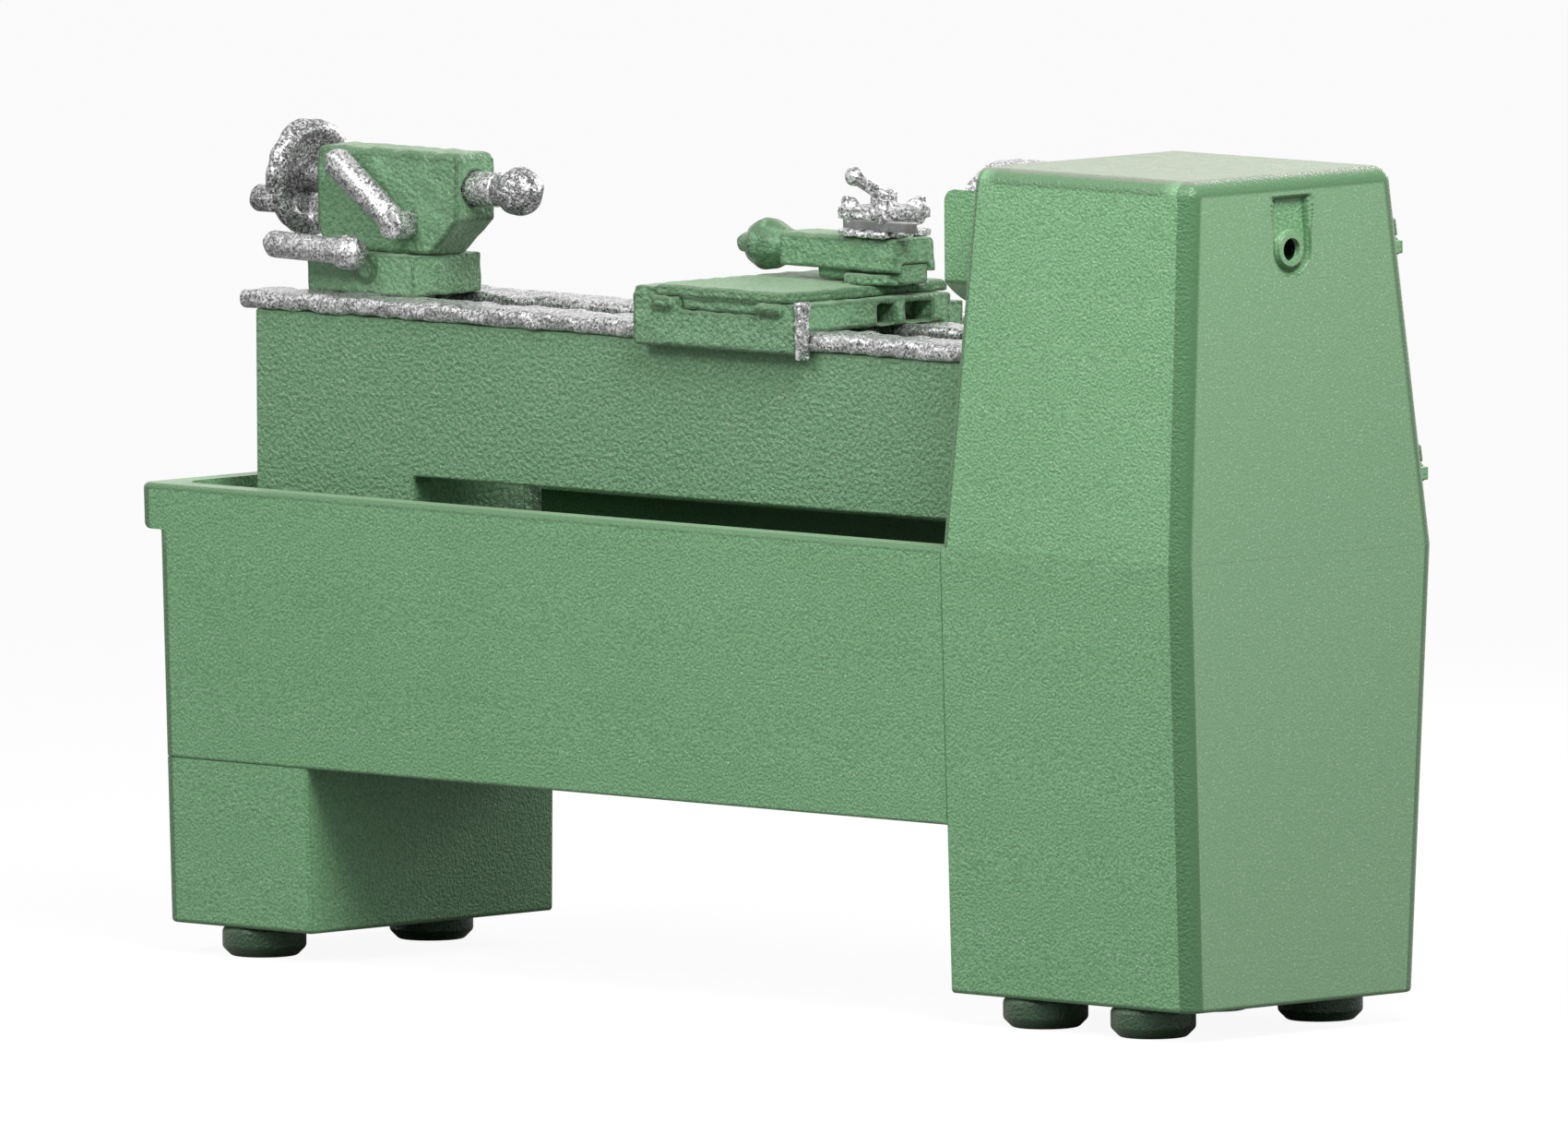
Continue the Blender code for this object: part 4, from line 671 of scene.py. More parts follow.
@dataclass(frozen=True)
class Enamel:
    """Sprayed enamel with a pebbled skin, pale specks and painted shade on rolled edges.

    The skin is calmer where x lies below calm_end, and a paler colour there is painted light for
    the end face. A pale beige painted reflection lies on the tops, where z is over a given height.
    """

    name: str
    colour: Point = (0.152, 0.350, 0.164)
    worn: Point = (0.36, 0.52, 0.35)
    pebble: float = 0.0044
    depth: float = 0.0021
    roughness: float = 0.36
    # A paler colour for the end face, painted light for a face lit from the front.
    end_face_light: Point = (0.186, 0.338, 0.186)
    calm_end: float = -1.112
    # Painted reflection on the top faces: its pale beige and the height from which it lies.
    top_sheen: Point = (0.180, 0.187, 0.153)
    top_sheen_from: float = 1.286
    calm_fade: float = 0.006
    top_sheen_fade: float = 0.004
    speck: float = 0.0034
    speck_at: Pair = (0.62, 0.70)
    speck_cover: float = 0.75
    # How far the painted shade on rolled edges goes, from 0 to 1.
    edge_shade_cover: float = 0.85
    grain: float = 0.0016
    grain_depth: float = 0.00025

    def tinted(self, outer: float, green: float) -> Point:
        """The colour with its red and blue scaled by one factor and its green by another."""
        r, g, b = self.colour
        return r * outer, g * green, b * outer

    def build(self) -> Material:
        """The material: tones, painted pebble shade and specks over a bump of pebbles and fine grain.

        Returns:
            The material.
        """
        n = Nodes(self.name)
        pebbles = n.noise(self.pebble, 1.5)
        tones = [(0.35, self.tinted(0.92, 0.94)), (0.65, self.tinted(1.08, 1.05))]
        tone = n.ramp(n.noise(0.30, 3.0), tones)
        # Painted shade and highlight: the colour goes darker in the pebbles' hollows and lighter on their
        # tops, read from the same noise as the bump.
        pebble_shade = [(0.34, self.tinted(0.55, 0.62)), (0.50, self.colour), (0.66, self.tinted(1.30, 1.22))]
        skin = n.ramp(pebbles, pebble_shade)
        # Below calm_end the colour turns paler, painted light for the end face lit from the front, and
        # less of the painted pebble shade shows there.
        border = (self.calm_end - self.calm_fade, self.calm_end + self.calm_fade)
        rough_side = n.spread(n.along("X"), (0.0, 1.0), border)
        share = n.spread(rough_side, (0.15, 0.55), (0.0, 1.0))
        colour = n.mix(share, n.mix(rough_side, self.end_face_light, tone), skin)
        speck = n.spread(n.noise(self.speck, 1.0), (0.0, self.speck_cover), self.speck_at)
        colour = n.mix(speck, colour, self.worn)
        # Painted shade: rolled edges are darkened towards a deep green, standing for the dark band that
        # the lighting gives large rounds.
        edge = n.spread(n.edge(), (0.0, self.edge_shade_cover), (0.10, 0.8))
        colour = n.mix(edge, colour, self.tinted(0.34, 0.42))
        # Painted reflection: a pale beige in noisy patches on the top faces over a given height, for the
        # white surround that they mirror at a grazing angle.
        top_sheen = n.spread(n.noise(0.012, 4.0), (0.35, 0.95))
        top = n.spread(n.along("Z"), (0.0, 1.0), (self.top_sheen_from - self.top_sheen_fade, self.top_sheen_from))
        colour = n.mix(n.mix(top, (0, 0, 0), top_sheen), colour, self.top_sheen)
        rough = n.spread(n.noise(0.02), (self.roughness - 0.05, self.roughness + 0.08))
        grain = n.bump(n.noise(self.grain), self.grain_depth)
        strength = n.spread(rough_side, (0.35, 1.0), (0.0, 1.0))
        normal = n.bump(pebbles, self.depth, strength, below=grain)
        n.feed(n.shader, Base_Color=colour, Roughness=rough, Normal=normal)
        n.feed(n.shader, Sheen_Weight=0.30, Sheen_Roughness=0.45, Sheen_Tint=(1.0, 0.92, 0.84, 1.0))
        return n.material


@dataclass(frozen=True)
class Flake:
    """Coarse silver flake: each flake has its own tone and its own tilt."""

    name: str
    flake: float = 0.0030
    dark: float = 0.04
    mid: float = 0.44
    bright: float = 0.98

    def build(self) -> Material:
        """The material: random cells set the tone and the bump, over soft lumps.

        Returns:
            The material.
        """
        n = Nodes(self.name)
        cells, fine = n.cells(self.flake), n.cells(self.flake * 0.55)
        tones = [(0.15, (self.dark,) * 3), (0.50, (self.mid,) * 3), (0.76, (self.bright,) * 3)]
        colour = n.mix(0.35, n.ramp(cells, tones), n.ramp(fine, tones))
        rough = n.spread(cells, (0.22, 0.45), (0.0, 1.0))
        lumps = n.bump(n.noise(0.012, 2.0), 0.0018)
        flakes = n.bump(cells, 0.0012, below=lumps)
        normal = n.bump(fine, 0.0006, below=flakes)
        n.feed(n.shader, Base_Color=colour, Metallic=0.9, Roughness=rough, Normal=normal)
        return n.material


@dataclass(frozen=True)
class Steel:
    """Bare machined steel with tool marks and a little oil staining."""

    name: str
    colour: Point = (0.52, 0.52, 0.53)
    roughness: float = 0.26
    marks: Point = (1.0, 0.12, 0.12)

    def build(self) -> Material:
        """The material: stretched noise for the tool marks, slow noise for the stain.

        Returns:
            The material.
        """
        n = Nodes(self.name)
        r, g, b = self.colour
        tones = [(0.35, (r * 0.70, g * 0.68, b * 0.64)), (0.62, self.colour)]
        stain = n.ramp(n.noise(0.05, 3.0), tones)
        marks = n.noise(0.0009, 2.0, self.marks)
        colour = n.mix(n.spread(marks, (0.0, 0.25)), stain, (r * 0.6, g * 0.6, b * 0.6))
        rough = n.spread(n.noise(0.03), (self.roughness - 0.05, self.roughness + 0.12))
        normal = n.bump(marks, 0.0002)
        n.feed(n.shader, Base_Color=colour, Metallic=1.0, Roughness=rough, Normal=normal)
        return n.material


@dataclass(frozen=True)
class Moulded:
    """Moulded plastic or rubber with a fine grain and dusty high spots."""

    name: str
    colour: Point
    roughness: float = 0.4
    grain: float = 0.0008

    def build(self) -> Material:
        """The material: a grain bump, and a paler dusty colour in slow patches and on edges.

        Returns:
            The material.
        """
        n = Nodes(self.name)
        dusty = tuple(lerp(value, 0.30, 0.18) for value in self.colour)
        colour = n.mix(n.spread(n.noise(0.02, 3.0), (0.0, 0.5)), self.colour, dusty)
        colour = n.mix(n.spread(n.edge(), (0.0, 0.6), (0.3, 1.0)), colour, dusty)
        rough = n.spread(n.noise(0.01), (self.roughness - 0.06, self.roughness + 0.10))
        normal = n.bump(n.noise(self.grain), 0.0002)
        n.feed(n.shader, Base_Color=colour, Roughness=rough, Normal=normal)
        return n.material


@dataclass(frozen=True)
class Coat:
    """A built material and the record's slot that it is a finish of."""

    material: Material
    slot: Slot


def coat(finish: Enamel | Flake | Steel | Moulded, slot: Slot) -> Any:
    """A dataclass field that holds a finish's coat, built when the paints are made."""
    return field(default_factory=lambda: Coat(finish.build(), slot))


@dataclass
class Paints:
    """One coat for each finish of the machine."""

    green: Coat = coat(Enamel("hammered_green"), Slot.GREEN)
    # The castings' finish: bigger pebbles, rougher, and a darker green that is partly painted shade for
    # the bed, carriage, slides and tailstock, which sit lower and more shaded.
    cast: Coat = coat(
        Enamel("cast_green_and_shade", (0.122, 0.270, 0.134), (0.30, 0.40, 0.29), 0.0066, 0.0042, 0.46), Slot.GREEN
    )
    # A deeper copy of the green. On the feet it is painted shade from the base above them. It is also the
    # finish of the control box and the motor.
    dark: Coat = coat(Enamel("deep_green_and_shade", (0.050, 0.130, 0.060), (0.14, 0.25, 0.15)), Slot.DARK)
    silver: Coat = coat(Flake("silver_flake"), Slot.SILVER)
    shaded: Coat = coat(Flake("shaded_silver_flake", mid=0.16, bright=0.80), Slot.SILVER)
    steel: Coat = coat(Steel("machined_steel"), Slot.STEEL)
    screw: Coat = coat(Steel("oiled_screw_steel", (0.40, 0.40, 0.41), 0.30, (0.2, 1.0, 1.0)), Slot.STEEL)
    rubber: Coat = coat(Moulded("belt_rubber", (0.022, 0.022, 0.024), 0.62, 0.0012), Slot.BELT)
    black: Coat = coat(Moulded("black_button", (0.018, 0.018, 0.020), 0.30), Slot.BLACK)
    red: Coat = coat(Moulded("red_button", (0.46, 0.020, 0.015), 0.28), Slot.RED)


# ---------------------------------------------------------------- building pieces
def edge_values(mesh: bpy.types.Mesh) -> Array:
    """How far each vertex stands out or lies in, from 0 on flats to 1 on edges and hollows.

    The mean of the unit vectors to its neighbours, along the inward normal, and less where
    the round is small. It is 0 at a sharp rim, and next to a long face, where it would run
    out over that face.

    Args:
        mesh: the mesh, with its normals turned outwards.

    Returns:
        One value from 0 to 1 for each vertex.
    """
    count = len(mesh.vertices)
    points = np.empty(count * 3)
    mesh.vertices.foreach_get("co", points)
    normals = np.empty(count * 3)
    mesh.vertices.foreach_get("normal", normals)
    points, normals = points.reshape(-1, 3), normals.reshape(-1, 3)
    ends = np.empty(len(mesh.edges) * 2, np.int64)
    mesh.edges.foreach_get("vertices", ends)
    first, second = ends.reshape(-1, 2).T
    way = points[second] - points[first]
    length = np.linalg.norm(way, axis=1)
    way /= np.maximum(length, 1e-9)[:, None]
    total, share, wide, spacing = np.zeros((4, count))
    for here, sign in ((first, 1.0), (second, -1.0)):
        slope = -sign * (way * normals[here]).sum(axis=1)
        np.add.at(total, here, slope)
        np.add.at(share, here, 1.0)
        np.add.at(wide, here, (slope > 0.45) | ((slope > 0.12) & (length > 0.006)))
        np.maximum.at(spacing, here, np.where(np.abs(slope) > 0.03, length, 0.0))
    value = np.clip(np.abs(total) / np.maximum(share, 1.0) / 0.04, 0.0, 1.0)
    value *= np.clip(spacing / 0.003, 0.3, 1.0)
    return np.where(wide > 0, 0.0, value)


def finish_mesh(mesh: bpy.types.Mesh, crease: float = 38.0) -> None:
    """Merges doubles, turns the faces outwards, shades it smooth and marks its edges.

    Args:
        mesh: the mesh, which is changed.
        crease: the angle in degrees from which an edge stays sharp.
    """
    work = bmesh.new()
    work.from_mesh(mesh)
    bmesh.ops.remove_doubles(work, verts=work.verts[:], dist=WELD)
    bmesh.ops.dissolve_degenerate(work, edges=work.edges[:], dist=WELD)
    bmesh.ops.recalc_face_normals(work, faces=work.faces[:])
    work.to_mesh(mesh)
    work.free()
    mesh.shade_smooth()
    mesh.set_sharp_from_angle(angle=math.radians(crease))
    attribute = mesh.attributes.new("edge", "FLOAT", "POINT")
    attribute.data.foreach_set("value", edge_values(mesh))


@dataclass
class Builder:
    """Turns surfaces into finished pieces that ride on the model's bodies."""

    paints: Paints
    made: list[str] = field(default_factory=list)

    def piece(
        self,
        node: str,
        shells: Sequence[Shell],
        body: str,
        coat: Coat,
        lumps: Pair = NO_LUMPS,
        stands_for: str = "",
    ) -> None:
        """Makes one piece and names it after its node.

        Args:
            node: the node that it stands for.
            shells: its closed surfaces.
            body: the body that it rides on.
            coat: its finish.
            lumps: how far the surface wanders, and over what length.
            stands_for: the node that it stands for, where that isn't the first one.
        """
        starts = np.cumsum([0] + [len(shell.points) for shell in shells])
        points = np.concatenate([shell.points for shell in shells])
        faces: list[list[int]] = []
        for shell, start in zip(shells, starts):
            faces += (shell.quads + start).tolist()
            faces += [[int(start) + corner for corner in cap] for cap in shell.caps]
        mesh = bpy.data.meshes.new(f"{node}_skin")
        mesh.from_pydata(self.wandered(points, lumps).tolist(), [], faces)
        self.dress(f"{node}_skin", mesh, body, coat, stands_for or node)

    def wandered(self, points: Array, lumps: Pair) -> Array:
        """The points moved by waves, whose seed is the number of pieces made so far."""
        height, size = lumps
        return points + height * waves(points, size, len(self.made)) if height else points

    def dress(self, name: str, mesh: bpy.types.Mesh, body: str, coat: Coat, node: str) -> None:
        """Finishes a mesh and places it as a piece that stands for a node.

        Args:
            name: the piece's name.
            mesh: its mesh.
            body: the body that it rides on.
            coat: its finish.
            node: the node that it stands for.
        """
        finish_mesh(mesh)
        mesh.materials.append(coat.material)
        made = bpy.data.objects.new(name, mesh)
        bpy.context.scene.collection.objects.link(made)
        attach(made, body)
        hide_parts(node)
        self.made.append(name)
        log.info("%s rides on %s with %d faces", name, body, len(mesh.polygons))

    def softened(
        self, node: str, body: str, coat: Coat, voxel: float, rounds: int, lumps: Pair = NO_LUMPS
    ) -> None:
        """A copy of a node as one soft casting, for forms that no single grid can give.

        The merged copy is cut into voxels, and each point then moves towards the mean of
        its neighbours a few times, which rounds every edge and fillets every corner.

        Args:
            node: the node that is copied.
            body, coat, lumps: as for piece().
            voxel: the voxels' size.
            rounds: how many times the points move.
        """
        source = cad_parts[node].data.copy()
        work = bmesh.new()
        work.from_mesh(source)
        bmesh.ops.remove_doubles(work, verts=work.verts[:], dist=WELD)
        work.to_mesh(source)
        work.free()
        helper = bpy.data.objects.new(f"{node}_form", source)
        bpy.context.scene.collection.objects.link(helper)
        remesh = helper.modifiers.new("voxels", "REMESH")
        remesh.mode, remesh.voxel_size = "VOXEL", voxel
        smooth = helper.modifiers.new("soft", "SMOOTH")
        smooth.factor, smooth.iterations = 0.5, rounds
        graph = bpy.context.evaluated_depsgraph_get()
        mesh = bpy.data.meshes.new_from_object(helper.evaluated_get(graph))
        bpy.data.objects.remove(helper)
        mesh.materials.clear()
        flat = np.empty(len(mesh.vertices) * 3)
        mesh.vertices.foreach_get("co", flat)
        mesh.vertices.foreach_set("co", self.wandered(flat.reshape(-1, 3), lumps).ravel())
        self.dress(f"{node}_skin", mesh, body, coat, node)

    def paint(self, coat: Coat, *nodes: str) -> None:
        """Gives nodes that are shown as they are a finish.

        Args:
            coat: the finish.
            nodes: the nodes' names.
        """
        for node in nodes:
            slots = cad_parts[node].data.materials
            slots.clear()
            slots.append(coat.material)
            log.info("%s keeps its own form", node)


@dataclass
class Assembly:
    """A sub-assembly of the machine, which makes its pieces with the shared builder."""

    build: Builder

    @property
    def paints(self) -> Paints:
        """The machine's finishes."""
        return self.build.paints


# ---------------------------------------------------------------- base
@dataclass
class CabinetBase(Assembly):
    """The two pedestals, the chip tray between them and the levelling feet."""

    wall: float = 0.014
    corner: float = 0.025
    seam_corner: float = 0.003
    tail_corner: float = 0.006
    tray_corner: float = 0.001
    rear_draft: float = 0.019
    head_front_draft: float = 0.045
    tail_front_draft: float = 0.010
    rim_height: float = 0.070
    rim_lip: float = 0.050
    lip_thickness: float = 0.022
    lip_round: float = 0.005
    lip_bevel: float = 0.0015
    tray_floor: Pair = (0.600, 0.614)
    tray_round: float = 0.004
    rim_round: float = 0.009
    foot_round: float = 0.006
    sole_chamfer: float = 0.014
    sole_round: float = 0.009
    joint: float = 0.0001

    def across(self, height: float, draft: float) -> Pair:
        """Y of the front and rear faces at a height, on straight drafts down from the rim.

        Args:
            height: the height.
            draft: how far the front leans back at the floor.

        Returns:
            The two places.
        """
        head = Span.of("headstock_pedestal")
        share = (height - head.low.z) / (head.high.z - head.low.z)
        front = lerp(head.low.y + draft, head.low.y, share)
        return front, lerp(head.high.y - self.rear_draft, head.high.y, share)

    def cup(self, span: Span, draft: float, radii: Sequence[float]) -> Shell:
        """A hollow pedestal, open on top: up its outside, over the rim and down inside.

        Args:
            span: the pedestal's box.
            draft: how far the front leans back at the floor.
            radii: the radii of its four upright edges.

        Returns:
            The closed surface.
        """
        x, low, high = (span.low.x, span.high.x), span.low.z, span.high.z + self.joint
        heights = [*np.linspace(low + self.foot_round + SUPPORT, high - 0.001, 14), high]
        outside = [(low + depth, inset) for depth, inset in rim_levels(self.foot_round)[:-1]]
        outside += [(height, 0.0) for height in heights]
        inside = [(high, self.wall), (low + self.wall, self.wall)]
        levels = [Level(z, x, self.across(z, draft), inset) for z, inset in outside + inside]
        return stacked(levels, radii)

    def make_pedestals(self) -> None:
        """The pedestal under the headstock and the one at the tail end."""
        wide, seam, tail = self.corner, self.seam_corner, self.tail_corner
        for node, draft, radii in (
            ("headstock_pedestal", self.head_front_draft, (wide, seam, seam, wide)),
            ("tailstock_pedestal", self.tail_front_draft, (tail, wide, wide, tail)),
        ):
            shell = self.cup(Span.of(node), draft, radii)
            self.build.piece(node, [shell], "base", self.paints.green)

    def make_tray(self) -> None:
        """The tray: its hollow underside, its wall, its rolled rim and its trough."""
        span, tail = Span.of("chip_tray"), Span.of("tailstock_pedestal").high.x
        head, rim_end, top = span.low.x - self.joint, span.high.x, span.high.z
        under, soft, rim_bottom = span.low.z, self.rim_round, top - self.rim_height
        wall_x, wall, lip = (head, tail), self.wall, self.rim_lip
        plan: list[tuple[float, Pair, float]] = [(self.tray_floor[0], wall_x, wall), (under, wall_x, wall)]
        plan += [(under + depth, wall_x, inset) for depth, inset in rim_levels(self.tray_round)]
        plan += [(z, wall_x, 0.0) for z in np.linspace(under + 0.02, rim_bottom - 0.002, 8)]
        plan += [(rim_bottom, (head, end), 0.0) for end in (tail + 0.004, rim_end - soft)]
        for angle in np.linspace(0.0, math.pi / 2, 7):
            out = soft * (1 - math.sin(angle))
            plan.append((rim_bottom + soft * (1 - math.cos(angle)), (head, rim_end - out), 0.0))
        rim = reversed(rim_levels(soft))
        plan += [(top - depth, (head, rim_end), inset) for depth, inset in rim]
        draft = self.tail_front_draft
        levels = [Level(z, x, self.across(z, draft), inset) for z, x, inset in plan]
        for z, inset in (
            (top, lip - self.lip_round),
            (top - self.lip_bevel, lip - self.lip_bevel),
            (top - self.lip_round, lip),
            (top - self.lip_thickness, lip),
            (top - self.lip_thickness, wall),
            (self.tray_floor[1], wall),
        ):
            front, rear = self.across(z, draft)
            levels.append(Level(z, (head + wall, rim_end - lip), (front + inset, rear - inset)))
        radii = (self.tray_corner, self.corner, self.corner, self.tray_corner)
        self.build.piece("chip_tray", [stacked(levels, radii, keep=(3,))], "base", self.paints.green)

    def make_feet(self) -> None:
        """Round feet with a chamfered sole, in a deep green that is painted shade from the base above
        them.
        """
        for number in range(1, 7):
            node = f"levelling_foot_{number}"
            span, cut = Span.of(node), self.sole_chamfer
            radius, top = span.size.x / 2, span.high.z
            points = [(0.0, 0.0), (0.0, radius - cut), (cut, radius), (top, radius), (top, 0.0)]
            line = soft_line(points, self.sole_round)
            shell = turned(line, tuple(span.middle.xy), Axis.Z, 64)
            self.build.piece(node, [shell], "base", self.paints.dark)

    def make(self) -> None:
        """All of the base."""
        self.make_pedestals()
        self.make_tray()
        self.make_feet()


@dataclass
class Bed(Assembly):
    """The bed's two walls, its ribs and its foot, with a bright way along each wall."""

    wall: float = 0.040
    rib: float = 0.016
    bays: int = 4
    foot_start: float = 0.624
    bottom: float = 0.746
    rib_top: float = 0.945
    head_slope: float = -0.0909
    soft: float = 0.004
    radii: tuple[float, ...] = (0.0005, 0.010, 0.006, 0.006, 0.005, 0.0005)
    way_corner: float = 0.010
    way_rims: Pair = (0.002, 0.012)
    way_lumps: Pair = (0.0011, 0.045)

    def make(self) -> None:
        """The casting as two L-shaped walls, cross ribs and the closed foot, then the ways."""
        span = Span.of("bed_casting")
        middle, half = span.middle.y, span.size.y / 2
        head, tail, low, top = span.low.x, span.high.x, span.low.z, span.high.z
        bottom, foot, rib, soft = self.bottom, self.foot_start, self.rib, self.soft
        nose_low = head - self.head_slope * (top - bottom)
        corners = [(nose_low, bottom), (foot, bottom), (foot, low), (tail, low), (tail, top), (head, top)]
        shells = []
        for sign in (-1, 1):
            y = sorted((middle + sign * half, middle + sign * (half - self.wall)))
            shells.append(prism(corners, self.radii, tuple(y), Axis.Y, (soft, soft), side=12))
        start = nose_low + rib
        pitch = (foot - start) / self.bays
        centres = [start + number * pitch for number in range(1, self.bays + 1)]
        under, over = bottom + 0.002, low + 0.002
        plates = [((x - rib / 2, x + rib / 2), (under, self.rib_top)) for x in centres]
        plates += [
            ((nose_low + 0.002, start + 0.010), (under, self.rib_top)),
            ((tail - rib, tail - 0.001), (over, top - 0.001)),
            ((foot, foot + rib), (over, self.rib_top)),
            ((foot + 0.004, tail - 0.004), (low + 0.001, low + rib)),
        ]
        inner = (middle - half + self.wall - soft, middle + half - self.wall + soft)
        shells += [block(x, inner, z, soft) for x, z in plates]
        self.build.piece("bed_casting", shells, "base", self.paints.cast)
        for node in ("rear_way", "front_way"):
            way = Span.of(node)
            flat = rectangle((way.low.y, way.high.y), (way.low.z, way.high.z))
            ends = (way.low.x, way.high.x)
            shell = prism(flat, self.way_corner, ends, Axis.X, self.way_rims, steps=260)
            self.build.piece(node, [shell], "base", self.paints.silver, self.way_lumps)


# ---------------------------------------------------------------- headstock
@dataclass
class Headstock(Assembly):
    """The headstock's shell, its hinged end cover and the controls on its front."""

    wall: float = 0.014
    corner: float = 0.025
    rear_draft: float = 0.025
    front_draft: float = 0.086
    nose_slope: float = -0.0909
    nose_wall: float = 0.045
    roof: float = 0.018
    gear_room: float = 0.048
    bearing_wall: float = 0.026
    cover_depth: float = 0.030
    cover_plate: float = 0.012
    cover_wall: float = 0.027
    recess_half: float = 0.040
    recess_top: float = 0.082
    recess_depth: float = 0.0104
    collar: float = 0.031
    hole: float = 0.0175
    collar_rise: float = 0.0090
    step: float = 0.006
    barrel: float = 0.008
    barrel_out: float = 0.009
    barrel_length: float = 0.045
    barrel_gap: float = 0.05
    barrels_at: Pair = (0.16, 0.76)
    leaf: Pair = (0.0008, 0.020)
    plate_gap: float = 0.0002
    bearing_fit: float = 0.0002
    nose_face: float = 0.018
    boss: float = 0.084
    boss_length: float = 0.09
    stud: float = 0.0148
    lever_boss: float = 0.034
    lever_hub: float = 0.022
    lever_ball: float = 0.0138
    axis: Pair = field(init=False)
    seam: float = field(init=False)

    def __post_init__(self) -> None:
        """Finds the spindle's axis and the cover's seam."""
        chuck = Span.of("chuck_body").middle
        self.axis = (chuck.y, chuck.z)
        self.seam = Span.of("end_cover").low.x + self.cover_depth

    def section(self) -> list[Pair]:
        """The (y, z) corners of the drafted section, from the rear foot round the top.

        Returns:
            The four corners.
        """
        cover = Span.of("end_cover")
        rear, low, top = cover.high.y, cover.low.z, cover.high.z
        front = Span.of("headstock_pedestal").low.y
        top_front = (front + self.front_draft, top)
        return [(rear, low), (rear - self.rear_draft, top), top_front, (front, low)]

    def recess(self, y: Array, z: Array) -> Array:
        """How deep the end face lies at places about the spindle's hole.

        Inside a slot with a round lower end it is deep, and the collar round the hole
        stands up from its floor. Both go over in a cubic step.

        Args:
            y, z: the places, from the hole's centre.

        Returns:
            The depths, which count inwards.
        """
        upper = np.maximum(np.abs(y) - self.recess_half, z - self.recess_top)
        lower = np.hypot(y, z) - self.recess_half
        inside = -np.where(z > 0, upper, lower)
        depth = self.recess_depth * smooth_step(inside / self.step)
        collar = smooth_step((self.collar - np.hypot(y, z)) / self.step)
        return depth - self.collar_rise * collar

    def make_cover(self) -> None:
        """The end cover, one surface that runs round like a ring.

        It goes from the seam along the wall, over a quarter round onto the end face, in to
        the spindle's hole, through the hole, out along the back and along the inner wall.
        """
        span = Span.of("end_cover")
        rear_low, rear_top, front_top, front_low = self.section()
        corners = [front_low, rear_low, rear_top, front_top]
        radii = (0.0, 0.0, self.corner, self.corner)
        face, seam, soft = span.low.x, self.seam - GAP, self.corner
        centre = np.array(self.axis)

        def ring(x: float | Array, inset: float) -> Array:
            """The section's outline at one place along X."""
            flat = outline(corners, radii, inset, keep=(0,), arc=10, side=58)
            return Axis.X.place(np.broadcast_to(x, len(flat)), flat[:, 0], flat[:, 1])

        rings = [ring(seam, 0.0), ring(face + soft + SUPPORT, 0.0)]
        for depth, inset in rim_levels(soft, 10)[::-1][1:-1]:
            rings.append(ring(face + depth, inset))
        edge = rings[-1][:, 1:]
        angle = np.arctan2(edge[:, 1] - centre[1], edge[:, 0] - centre[0])
        circle = centre + self.hole * np.stack([np.cos(angle), np.sin(angle)], axis=-1)
        for step in np.linspace(0.0, 1.0, 90)[1:]:
            share = 1 - (1 - step) ** 2
            flat = edge * (1 - share) + circle * share
            depth = self.recess(flat[:, 0] - centre[0], flat[:, 1] - centre[1])
            rings.append(Axis.X.place(face + depth, flat[:, 0], flat[:, 1]))
        back = face + self.cover_plate
        rings.append(Axis.X.place(np.full(len(circle), back), circle[:, 0], circle[:, 1]))
        rings += [ring(back, self.cover_wall), ring(seam, self.cover_wall)]
        shells = [Shell.from_rings(np.array(rings), looped=True), *self.knuckles(-1)]
        self.build.piece("end_cover", shells, "end_cover", self.paints.green)

    def knuckles(self, side: int) -> list[Shell]:
        """The hinge barrels of the cover (-1) or the headstock (1), in front of its edge.

        Args:
            side: -1 for the cover's barrels and 1 for the headstock's.

        Returns:
            A barrel and its leaf for each of the two places.
        """
        seam, reach, length = self.seam, self.barrel_out, self.barrel_length
        _, _, top, low = self.section()
        first, last = (Vector((seam, y - reach, z)) for y, z in (low, top))
        shells = []
        for place in self.barrels_at:
            share = place + (self.barrel_gap if side > 0 else 0.0)
            start, end = first.lerp(last, share), first.lerp(last, share + length)
            bar = rod((0.0, (end - start).length), self.barrel, (0.0, 0.0), Axis.X)
            shells.append(onto_line(bar, start, end))
            x = sorted(seam + side * out for out in self.leaf)
            y = (start.y + 0.001, end.y + reach + 0.004)
            shells.append(block(tuple(x), y, (start.z + 0.003, end.z - 0.003), 0.002))
        return shells

    def make_housing(self) -> None:
        """The shell: an arch over the gear room and main room, closed by the nose wall.

        Both are made straight along X. A shear then leans the nose back in proportion to
        the height over the rim and to the distance from the bearing wall.
        """
        section = self.section()
        (rear, low), (rear_top, top), (front_top, _), (front, _) = section
        roof = top - self.roof
        nose = Span.of("headstock_pedestal").high.x
        room = self.seam + self.gear_room
        rise = (roof - low) / (top - low)
        inner = [
            (front + self.wall, low),
            (lerp(front, front_top, rise) + self.wall, roof),
            (lerp(rear, rear_top, rise) - self.wall, roof),
            (rear - self.wall, low),
        ]
        soft, face = self.corner, nose - self.nose_face
        radii = (0.0, soft, soft, 0.0, 0.0, 0.010, 0.010, 0.0)
        ends = (self.seam, face - self.plate_gap)
        arch = prism(section + inner, radii, ends, Axis.X, steps=12, arc=10, side=16)
        front_plate = prism(
            section, radii[:4], (face, nose), Axis.X, (0.0, 0.016), keep=(3,), arc=10, side=16
        )
        plug = outline(section, radii[:4], 0.003, keep=(3,), arc=10, side=16)
        ends = (nose - self.nose_wall, face + 0.001)
        rings = [Axis.X.place(np.full(len(plug), x), plug[:, 0], plug[:, 1]) for x in ends]
        shells = [arch, front_plate, Shell.from_rings(np.array(rings))]
        for shell in shells:
            x, z = shell.points[:, 0], shell.points[:, 2]
            lean = np.clip((x - room) / (nose - room), 0.0, 1.0)
